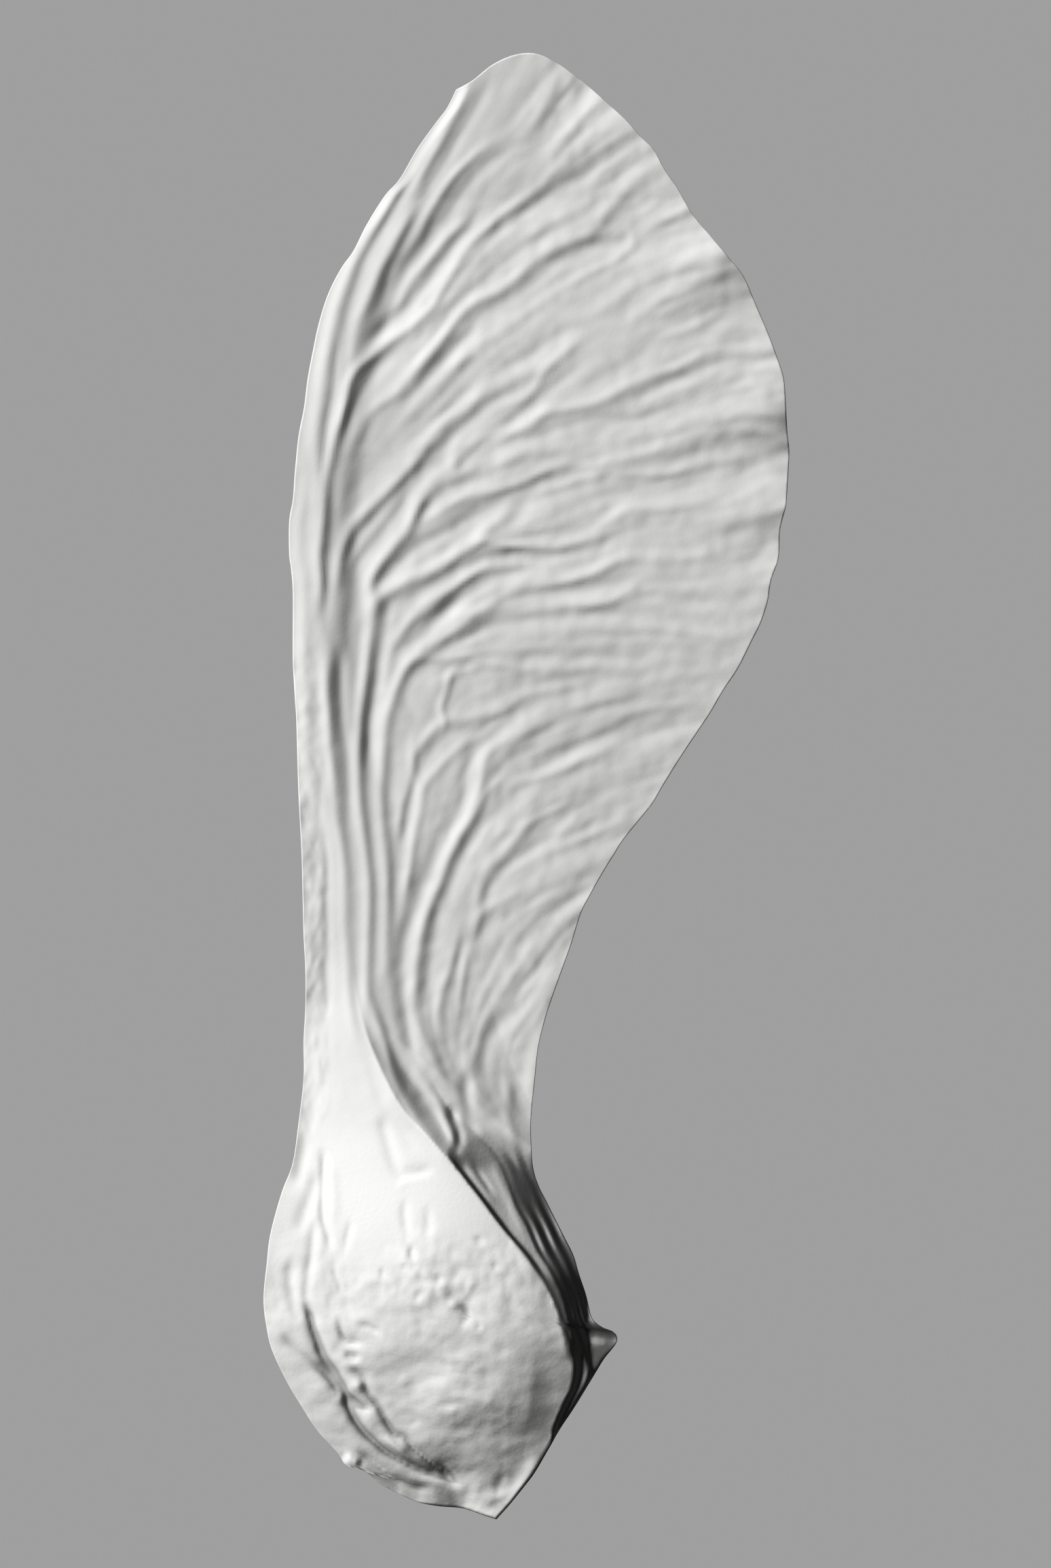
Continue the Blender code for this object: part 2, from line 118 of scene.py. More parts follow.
TIP_EDGE = [
    (-1.95, 19.0), (-1.5, 19.25), (-1.0, 19.65), (-0.5, 19.9), (0.0, 20.0), (0.4, 19.93),
    (0.75, 19.75), (1.0, 19.6), (1.6, 19.15),
]

# The crest where the shell breaks off, how far past it the folded band ends, the face's foot,
# and the heights along the edge beside it
CREST = [
    (-4.95, -3.0), (-4.75, -5.0), (-4.45, -6.5), (-4.0, -7.7), (-3.4, -8.8), (-2.65, -9.6),
    (-2.0, -10.35), (-1.33, -11.2), (-0.65, -12.1), (0.1, -13.0), (0.62, -13.9), (1.02, -15.0),
    (1.25, -15.7), (1.2, -16.3), (0.93, -16.9), (0.68, -17.5), (0.63, -18.0), (0.32, -18.7),
    (0.02, -19.1), (-0.38, -19.6), (-0.7, -20.0),
]
BAND_END = [
    (1.25, -9.5), (1.25, -10.3), (0.83, -11.4), (0.7, -12.0), (0.42, -12.7), (0.36, -13.3),
    (0.3, -14.2), (0.22, -15.3), (0.12, -16.0), (0.1, -20.0),
]
FACE_FOOT = [
    (0.1, -8.0), (0.1, -9.7), (0.2, -10.4), (0.4, -10.9), (0.6, -11.3), (0.85, -11.8), (1.1, -12.3),
    (1.35, -12.8), (1.5, -13.3), (1.6, -13.9), (1.62, -14.5), (1.66, -15.1), (1.7, -15.6),
    (1.75, -16.1), (1.32, -16.9), (0.8, -18.1), (0.2, -19.1), (-0.5, -20.0),
]
SIDE_TOP = [
    (2.75, -8.0), (2.4, -10.0), (2.1, -11.2), (2.2, -12.5), (2.5, -14.0), (2.9, -16.0),
    (2.8, -18.0), (2.6, -20.0),
]
SIDE_FOOT = [
    (2.1, -9.0), (1.6, -12.0), (1.4, -14.0), (1.2, -16.0), (1.3, -18.0), (1.8, -20.0),
]

# Levels and reaches of the large form
FLANGE_HEIGHT = 2.1
FLANGE_THICKNESS = 0.65
CAD_WING = 0.78
NECK_Y = -9.0
LANDING_Y = 16.0
WING_FALL = 1.6
WING_FALL_EASE = 0.35
WING_LEAN = 0.75
SWELL_LEAN = 0.2
LEAST_SPAN = 0.3
LEAST_THICKNESS = 0.05

# The strip along the leading edge, as it is on the wing and at the neck
STRIP_RISE = 0.17
STRIP_END = 1.9
STRIP_END_AT_NECK = 3.4
STRIP_FLANK = 0.9
STRIP_FLANK_AT_NECK = 2.2
STRIP_FOOT = 0.35
STRIP_FOOT_AT_NECK = 1.8
# Share of its rise at the very edge, what the upper wing adds to it and the neck takes away,
# and the share that carries on across the wing at the neck
STRIP_EDGE = 0.6
STRIP_EDGE_UPPER = 0.25
STRIP_EDGE_AT_NECK = 0.35
STRIP_SPREAD_AT_NECK = 0.7

# The nutlet's shell, its belly and its base
SUMMIT = (-0.55, -13.7)
NUTLET_RISE = 1.79
SHELL_REACH_ACROSS = 7.5
SHELL_REACH_WING = 8.8
SHELL_REACH_BASE = 6.0
SHELL_BEND = (1.9, 2.25)
SHELL_FULLNESS = (1.6, 1.28)
SHELL_LEAN = 1.2
SHOULDER_RISE = 0.9
SHOULDER_SLOPE_WIDTH = 3.6
SHOULDER_JOIN = 3
CORNER_DROP = 0.13
BELLY_CENTRE = (-2.3, -13.6)
BELLY_REACH = (4.4, 5.6)
BELLY_DEPTH = 2.35
BELLY_FULLNESS = 0.8
BASE_DROOP = 0.25
BASE_DROOP_Y = -18.2
BASE_DROOP_ROUNDING = 0.3

# The side face past the crest
FACE_TOP = -9.7
FACE_TOP_SLOPE = 0.8
LEAST_FACE = 0.25
LEAST_FALL = 0.2
STEP_DROP = 0.38
STEP_WIDTH = 0.16
STEP_FADE = 0.8
STEP_TOP = -10.05
STEP_TOP_SLOPE = 0.8
STEP_TOP_WIDTH = 0.4
BAND_SLOPES = (0.6, 0.8)
LEDGE_SLOPE = 0.75
# How many folds there are and how deep they are, at places along the face
FOLD_PLACES = (-15.2, -14.5, -13.3, -13, -11)
FOLD_COUNTS = (1, 2, 3, 3, 3)
FOLD_SHARES = (0.8, 0.75, 0.7, 0.7, 0.4)

# Radii of the rim: of the upper face in general and at the base, and of the underside on the
# wing and on the nutlet
TOP_RIM = (0.015, 0.1)
UNDER_RIM = (0.13, 0.4)
UNDER_RIM_SHARE = 0.8
# How much of the strip and of the wing's lines shows on the underside
UNDER_STRIP = 0.3
UNDER_LINES = 0.6

# Zones: the place where each starts and the width over which it sets in, which is negative
# where the zone lies towards lower values
NUTLET_ZONE = (-8.0, -3.0)
NECK_ZONE = (1.0, -4.0)
OFF_STRIP = (1.5, 2.0)
LEAN_STARTS = (NECK_Y, 5.0)
LEAN_ENDS = (15.0, -6.0)
WING_THINS = (NECK_Y, 12.0)
STRIP_STARTS = (NECK_Y, 4.0)
STRIP_NARROWS = (-3.0, 5.0)
STRIP_SPREADS_AT_TIP = (13.5, 4.0)
UPPER_EDGE_STARTS = (6.0, 4.0)
UPPER_EDGE_ENDS = (16.0, -2.0)
SHOULDER_STARTS = (-4.0, -5.0)
SHOULDER_ENDS = (-13.0, 3.0)
CORNER_LEFT = (-0.35, 1.1)
CORNER_TOP = (-14.2, -2.8)
CORNER_FOOT = (-18.4, 1.2)
DROOP_RIGHT = (-0.9, -1.2)
DROOP_LEFT = (-5.0, 1.5)
LOW_FACE = (-12.7, -0.8)
STEP_FADES = (-15.6, 0.6)
BASE_RIM_LEFT = (-3.2, 1.0)
BASE_RIM_TOP = (-15.2, -0.5)
LOWER_WING = (0.5, -3.0)
WRINKLED_SHELL = (-11.5, -2.0)
LONG_WRINKLES = (-13.5, -2.5)
SMOOTH_RIGHT = (-3.2, -1.2)
SMOOTH_FOOT = (-13.6, 1.0)
SMOOTH_LEFT = (-5.3, 0.8)
CALM_SIDE = (-5.0, -0.8)
CALM_BASE_LEFT = (-0.8, 1.2)
CALM_BASE_TOP = (-14.8, -1.5)
PEBBLES_ACROSS = (0.9, -0.5)
PEBBLES_TOP = (6.0, -4.0)
PEBBLES_FOOT = (-10.5, 2.0)
GRAINED_SHELL = (-8.5, -2.5)
# Depth below the large form where the painted shade of creases and furrows starts, and what it takes to
# be full
CREASE_SHADE_START = 0.05
CREASE_SHADE_DEPTH = 0.14

# Unevenness: height or share, pitch and seed
BEND_ACROSS = (0.035, 0.9, 3)
BEND_ALONG = (0.035, 0.9, 4)
LINE_UNEVENNESS = (0.1, 1.2, 5)
RIPPLE_UNEVENNESS = (0.3, 2.0, 13)
WRINKLE_UNEVENNESS = (0.35, 1.0, 31)
FOLD_UNEVENNESS = (0.2, 0.5, 51)
WING_BUMPS = (1.0, 0.2, 71)
# Ripples along the veins: share, pitch, reach, steps and seed
RIPPLES = ((1.0, 0.24, 1.3, 12, 11), (0.35, 0.13, 0.6, 8, 12))
# Their level, what is left of them and of the bumps on the strip, and what the lower wing loses
RIPPLE_LEVEL = 0.8
RIPPLES_ON_STRIP = 0.35
BUMPS_ON_STRIP = 0.4
RIPPLES_LOST_BELOW = 0.5
# Wrinkles: share and pitch, and the seeds of the shell's round ones, of its long ones and of the
# margin's pebbles, which are the finest two
WRINKLES = ((0.16, 0.1), (0.3, 0.2), (0.5, 0.4), (0.6, 0.8))
ROUND_SEED = 21
LONG_SEED = 41
PEBBLE_SEED = 61
# The long ones' height and share, and what the smooth shoulder, the side and the base lose
LONG_HEIGHT = 1.5
LONG_SHARE = 0.75
SMOOTH_SHARE = 0.8
CALM_SIDE_SHARE = 0.4
CALM_BASE_SHARE = 0.75
PEBBLE_HEIGHT = 1.1
PEBBLE_STRETCH = 0.6
# How the long wrinkles' pattern is squeezed and slanted, across and along
LONG_ACROSS = (0.55, 0.1)
LONG_ALONG = (0.12, 1.15)

# Mesh: places of the outermost grid lines in cells, and the cells near enough to the rim to round
RIM_STEPS = (0.25, 0.6)
RIM_CELLS = 9

# Lines: how far they are drawn on and fade, the most that a fade may take up, their reach in
# half widths, and the powers of their sections, of which a lower one is sharper
LINE_OVERRUN = 0.8
LINE_TAPER = 0.35
DRAWN_ON_FADE_SHARE = 0.5
FREE_TAPER = 0.5
FREE_FADE_SHARE = 0.4
LINE_REACH = 2.6
LINE_POWER = 2.0
CREASE_POWER = 1.5

# Noise: the lower corner and the spans of its lattice, and what brings its heights to about 1
NOISE_CORNER = (-10.5, -22.5)
NOISE_SPANS = (22.0, 46.0)
NOISE_GAIN = 2

# Swells and dips of the trailing lobe: height, reach across, reach along, centre
SWELLS = [
    (0.12, 1.6, 0.7, (6.9, 10.4)), (0.13, 1.6, 0.8, (5.6, 14.3)), (-0.1, 1.5, 0.6, (6.6, 8.9)),
    (-0.05, 1.4, 0.6, (6.0, 12.9)), (-0.06, 1.2, 0.7, (6.7, 6.3)), (-0.06, 1.0, 0.7, (5.4, 3.0)),
    (0.06, 1.4, 0.8, (6.4, 7.6)), (-0.11, 0.5, 0.9, (7.35, 9.0)), (0.18, 1.5, 1.2, (5.6, 15.2)),
    (0.18, 1.5, 1.2, (4.6, 16.9)), (0.16, 1.4, 1.1, (3.4, 18.4)),
]

# Heights of the wing's lines, from hardly seen to the strongest
FAINT = 0.01
SOFT = 0.02
PLAIN = 0.035
CLEAR = 0.05
STRONG = 0.07
BOLD = 0.09
# The wing's lines as height at the start and at the end, half width and points: raised veins,
# then the furrows between them, whose heights are depths
VEINS = [
    (SOFT, STRONG, 0.2, [(-5.45, 3.4), (-5.6, 4.6), (-5.72, 5.6), (-5.76, 6.6), (-5.75, 7.6),
        (-5.7, 8.6), (-5.72, 9.4), (-5.64, 10.3), (-5.52, 11.3), (-5.3, 12.3), (-5.15, 13.1),
        (-4.95, 13.8), (-4.65, 14.5), (-4.35, 15.05), (-3.95, 15.6), (-3.6, 16.15)]),
    (STRONG, CLEAR, 0.16, [(-5.5, 3), (-5.47, 2.2), (-5.4, 1.2), (-5.32, 0.4)]),
    (PLAIN, PLAIN, 0.16, [(-5.32, 0.3), (-5.2, -0.8), (-5.08, -1.9), (-5, -3), (-4.95, -4.2),
        (-4.9, -5.3), (-4.8, -6.5)]),
    (CLEAR, PLAIN, 0.14, [(-5.62, 5.4), (-5.66, 6.2), (-5.6, 7), (-5.52, 7.9), (-5.4, 8.7),
        (-5.22, 9.4), (-5.07, 10)]),
    (SOFT, PLAIN, 0.14, [(-2.6, 1.45), (-2.9, 1.15), (-3.1, 0.7), (-3.2, 0.2), (-3.33, -0.4),
        (-3.45, -1)]),
    (STRONG, CLEAR, 0.14, [(-5, 10), (-4.9, 10.7), (-4.8, 11.1), (-4.55, 11.45), (-4.15, 11.75),
        (-3.85, 12)]),
    (PLAIN, CLEAR, 0.16, [(-4.45, 13), (-4.25, 13.6), (-4, 14.2), (-3.7, 14.8), (-3.35, 15.4)]),
    (PLAIN, CLEAR, 0.16, [(-2.95, 16.6), (-2.65, 17.2), (-2.3, 17.75), (-2, 18.3), (-1.75, 18.8)]),
    (CLEAR, PLAIN, 0.16, [(-2.95, 15.1), (-2.75, 15.5), (-2.5, 15.9), (-2.2, 16.35), (-1.85, 16.75),
        (-1.5, 17.05), (-1.15, 17.4)]),
    (PLAIN, CLEAR, 0.14, [(-3.55, 13.1), (-3.3, 13.6), (-3.1, 13.95), (-2.7, 14.4), (-2.3, 14.85),
        (-1.9, 15.2)]),
    (PLAIN, PLAIN, 0.15, [(-4, 12.05), (-3.5, 12.35), (-3, 12.75), (-2.6, 13.1), (-2.35, 13.5),
        (-2.05, 14), (-1.7, 14.6), (-1.1, 15.15), (-0.6, 15.6), (-0.1, 16.05), (0.4, 16.45),
        (0.8, 16.8)]),
    (PLAIN, CLEAR, 0.18, [(-4.75, 9.3), (-4.5, 9.8), (-4.2, 10.25), (-3.75, 10.6), (-3.35, 10.95),
        (-3, 11.4), (-2.6, 11.9), (-2.2, 12.35), (-1.8, 12.8), (-1.35, 13.2), (-0.8, 13.5),
        (-0.3, 13.9), (0.2, 14.3), (0.7, 14.65), (1.3, 14.9), (1.8, 15.1), (2.2, 15.6)]),
    (CLEAR, CLEAR, 0.17, [(-5.15, 5.7), (-5.08, 6.3), (-4.85, 7), (-4.5, 7.4), (-4, 7.9),
        (-3.5, 8.4), (-3, 8.9), (-2.6, 9.4), (-2.2, 9.9), (-1.8, 10.25), (-1.3, 10.7)]),
    (BOLD, PLAIN, 0.18, [(-4.25, 5), (-4.22, 5.6), (-4, 6.1), (-3.65, 6.55), (-3.3, 6.95),
        (-3.1, 7.5), (-2.9, 7.95), (-2.5, 8.35), (-2.05, 8.55), (-1.95, 9)]),
    (STRONG, STRONG, 0.2, [(-3.95, 5.1), (-3.4, 5.5), (-2.85, 5.8), (-2.3, 6.1), (-1.8, 6.4),
        (-1.3, 6.65), (-0.9, 7.05), (-0.5, 7.4)]),
    (PLAIN, PLAIN, 0.14, [(-2.5, 7.45), (-2, 7.7), (-1.5, 7.88), (-0.9, 7.98), (-0.3, 8.15),
        (0.4, 8.45)]),
    (PLAIN, SOFT, 0.16, [(0.4, 8.45), (1.1, 8.62), (1.9, 8.78), (2.6, 9), (3.3, 9.1), (3.8, 9.28),
        (4.4, 9.42)]),
    (CLEAR, SOFT, 0.14, [(-1.1, 6.6), (-0.5, 6.5), (0.2, 6.48), (0.8, 6.5), (1.3, 6.62),
        (1.9, 6.75)]),
    (PLAIN, CLEAR, 0.16, [(-1.8, 4.6), (-1.3, 4.78), (-0.9, 5), (-0.5, 5.25), (0.1, 5.4),
        (0.8, 5.5), (1.4, 5.65), (1.9, 5.8), (2.4, 6.05)]),
    (PLAIN, PLAIN, 0.12, [(-2.45, 5.15), (-2.1, 5.35), (-1.75, 5.6), (-1.4, 5.8)]),
    (CLEAR, SOFT, 0.14, [(-3.35, 4.2), (-3.1, 4.55), (-2.75, 4.8), (-2.4, 5.05)]),
    (PLAIN, SOFT, 0.14, [(-2.5, 3.9), (-2.1, 4.15), (-1.8, 4.4), (-1.4, 4.7)]),
    (CLEAR, BOLD, 0.18, [(-4.05, 5), (-4.2, 4.3), (-4.33, 3.5), (-4.45, 2.7), (-4.52, 1.8),
        (-4.58, 1.1)]),
    (CLEAR, PLAIN, 0.16, [(-4.62, 0.8), (-4.57, -0.4), (-4.45, -1.6), (-4.4, -2.7), (-4.36, -3.8),
        (-4.38, -5), (-4.4, -6)]),
    (STRONG, PLAIN, 0.18, [(-2.9, 3.5), (-3.25, 3.15), (-3.55, 2.6), (-3.75, 2), (-3.9, 1.2),
        (-3.98, 0.2), (-3.96, -0.8), (-3.9, -1.8), (-3.86, -3), (-3.85, -4.2), (-3.85, -5)]),
    (SOFT, FAINT, 0.14, [(-2.9, 3.45), (-2.3, 3.45), (-1.7, 3.52), (-1.2, 3.45), (-0.6, 3.3),
        (0.1, 3.2), (0.8, 3.2), (1.6, 3.3), (2.3, 3.28)]),
    (PLAIN, PLAIN, 0.12, [(-2.08, 3), (-2.2, 2.5), (-2.35, 2), (-2.25, 1.7)]),
    (SOFT, SOFT, 0.14, [(-3.1, 0.9), (-2.75, 1.2), (-2.3, 1.6), (-1.7, 1.8), (-1.1, 1.88),
        (-0.7, 2.05), (-0.35, 2.3)]),
    (SOFT, PLAIN, 0.14, [(-3.15, 1), (-3.1, 0.4), (-2.9, -0.1), (-2.9, -0.7), (-3.05, -1.3),
        (-3.2, -2), (-3.3, -2.7)]),
    (PLAIN, SOFT, 0.12, [(-2.65, 0.3), (-2.3, 0.62), (-1.95, 0.92), (-1.75, 1.1)]),
    (PLAIN, CLEAR, 0.18, [(-1, 0.95), (-1.2, 0.5), (-1.3, 0), (-1.38, -0.4), (-1.65, -0.95),
        (-1.95, -1.5), (-2.2, -2.1), (-2.45, -2.8), (-2.75, -3.5), (-2.93, -4.2), (-3.02, -5),
        (-3.03, -5.6)]),
    (SOFT, PLAIN, 0.16, [(-1, 0.95), (-0.5, 1.2), (0, 1.5), (0.4, 1.75), (0.9, 2), (1.5, 2.2),
        (2, 2.3), (2.5, 2.38)]),
    (SOFT, SOFT, 0.16, [(-1.1, -0.1), (-0.6, 0.1), (-0.1, 0.2), (0.3, 0.25), (0.7, 0.4), (1.2, 0.7),
        (1.7, 0.9), (2.1, 1)]),
    (PLAIN, SOFT, 0.18, [(-0.1, -1), (-0.4, -1.5), (-0.65, -1.85), (-1, -2.15), (-1.25, -2.7),
        (-1.33, -3.4), (-1.42, -4.2)]),
    (SOFT, PLAIN, 0.14, [(-1.95, -4.4), (-2.1, -5), (-2.3, -5.6), (-2.4, -6.2)]),
    (SOFT, SOFT, 0.12, [(-1.72, -4.8), (-1.82, -5.4), (-1.85, -6.1)]),
    (SOFT, PLAIN, 0.18, [(0.1, -4.4), (-0.2, -4.9), (-0.5, -5.4), (-0.8, -5.85), (-1.1, -6.3),
        (-1.35, -6.9), (-1.5, -7.5), (-1.45, -8.1), (-1.2, -8.5)]),
    (PLAIN, STRONG, 0.16, [(-4.3, -5.8), (-4.1, -6.4), (-3.9, -7), (-3.7, -7.6), (-3.45, -8.2),
        (-3.15, -8.8), (-2.85, -9.35), (-2.5, -9.8)]),
    (SOFT, BOLD, 0.15, [(-3.05, -7.6), (-2.75, -8.1), (-2.4, -8.6), (-2.15, -9.15), (-1.95, -9.6)]),
    (SOFT, SOFT, 0.14, [(-2.95, -6.5), (-2.7, -7.1), (-2.4, -7.7)]),
    (CLEAR, PLAIN, 0.16, [(-0.4, 9.62), (0.1, 9.85), (0.5, 10.15), (1.2, 10.3), (1.8, 10.4),
        (2.3, 10.62), (2.7, 10.9), (3.1, 11.12)]),
    (PLAIN, PLAIN, 0.14, [(-0.6, 10.35), (-0.1, 10.6), (0.2, 10.95), (0.45, 11.35), (0.8, 11.7),
        (1.1, 11.95)]),
    (PLAIN, SOFT, 0.14, [(3.6, 11.3), (4.1, 11.45), (4.6, 11.75), (5.1, 11.95)]),
    (SOFT, SOFT, 0.12, [(2.6, 8.5), (3.2, 8.5), (3.9, 8.45), (4.4, 8.6)]),
    (PLAIN, SOFT, 0.16, [(2.2, 7.15), (2.6, 7.45), (3, 7.62), (3.6, 7.6), (4.3, 7.68), (5, 7.82),
        (5.5, 8.05)]),
    (SOFT, SOFT, 0.14, [(3.6, 6.15), (4.1, 6.2), (5, 6.3)]),
    (SOFT, PLAIN, 0.14, [(1.3, 4.92), (1.9, 4.92), (2.4, 5.1), (2.9, 5.45)]),
    (SOFT, SOFT, 0.14, [(0, 3.72), (0.8, 3.85), (1.6, 3.87), (2.5, 3.86)]),
    (SOFT, FAINT, 0.12, [(1.9, 4.25), (2.7, 4.22), (3.3, 4.3), (4, 4.25), (4.6, 4.2)]),
    (FAINT, FAINT, 0.25, [(4.8, 3), (5.2, 3), (5.5, 3.3)]),
    (FAINT, FAINT, 0.16, [(2.1, -0.08), (2.5, 0), (2.9, 0.02)]),
    (FAINT, FAINT, 0.16, [(1.4, -0.5), (1.2, -0.9)]),
    (PLAIN, FAINT, 0.14, [(1, 13.55), (1.5, 13.85), (2, 14.12), (2.5, 14.35), (2.85, 14.8),
        (2.75, 15.2)]),
    (SOFT, FAINT, 0.16, [(1.7, 12.85), (2.1, 13.1), (2.5, 13.35), (2.9, 13.6)]),
    (SOFT, SOFT, 0.16, [(3.1, 12.95), (3.5, 13.2), (3.8, 13.4), (4.2, 13.5)]),
    (SOFT, FAINT, 0.18, [(3.4, 14.1), (3.9, 14.32), (4.6, 14.4)]),
    (PLAIN, PLAIN, 0.2, [(5.5, 12.6), (6, 12.68), (6.4, 12.6)]),
    (SOFT, SOFT, 0.16, [(3.7, 12.25), (4.2, 12.4), (4.6, 12.55)]),
    (SOFT, SOFT, 0.22, [(3.6, 16), (3.9, 16.2)]),
    (PLAIN, SOFT, 0.2, [(2, 17.35), (2.4, 17.6), (2.8, 17.85)]),
    (PLAIN, SOFT, 0.18, [(0.3, 18.3), (0.65, 18.8), (0.85, 19.3)]),
    (PLAIN, PLAIN, 0.18, [(5.8, 9.7), (6.3, 9.75), (6.7, 9.6)]),
    (PLAIN, PLAIN, 0.16, [(5.6, 8.85), (5.9, 8.9)]),
    (SOFT, FAINT, 0.14, [(-1.15, -3.4), (-0.6, -3.05), (0.1, -2.8), (0.9, -2.5), (1.6, -2.3)]),
    (FAINT, FAINT, 0.14, [(-0.9, -2.5), (-0.3, -2.2), (0.4, -1.9), (1.1, -1.6), (1.9, -1.3)]),
    (SOFT, FAINT, 0.14, [(-0.6, -1.2), (0.1, -0.9), (0.9, -0.6), (1.6, -0.35)]),
]
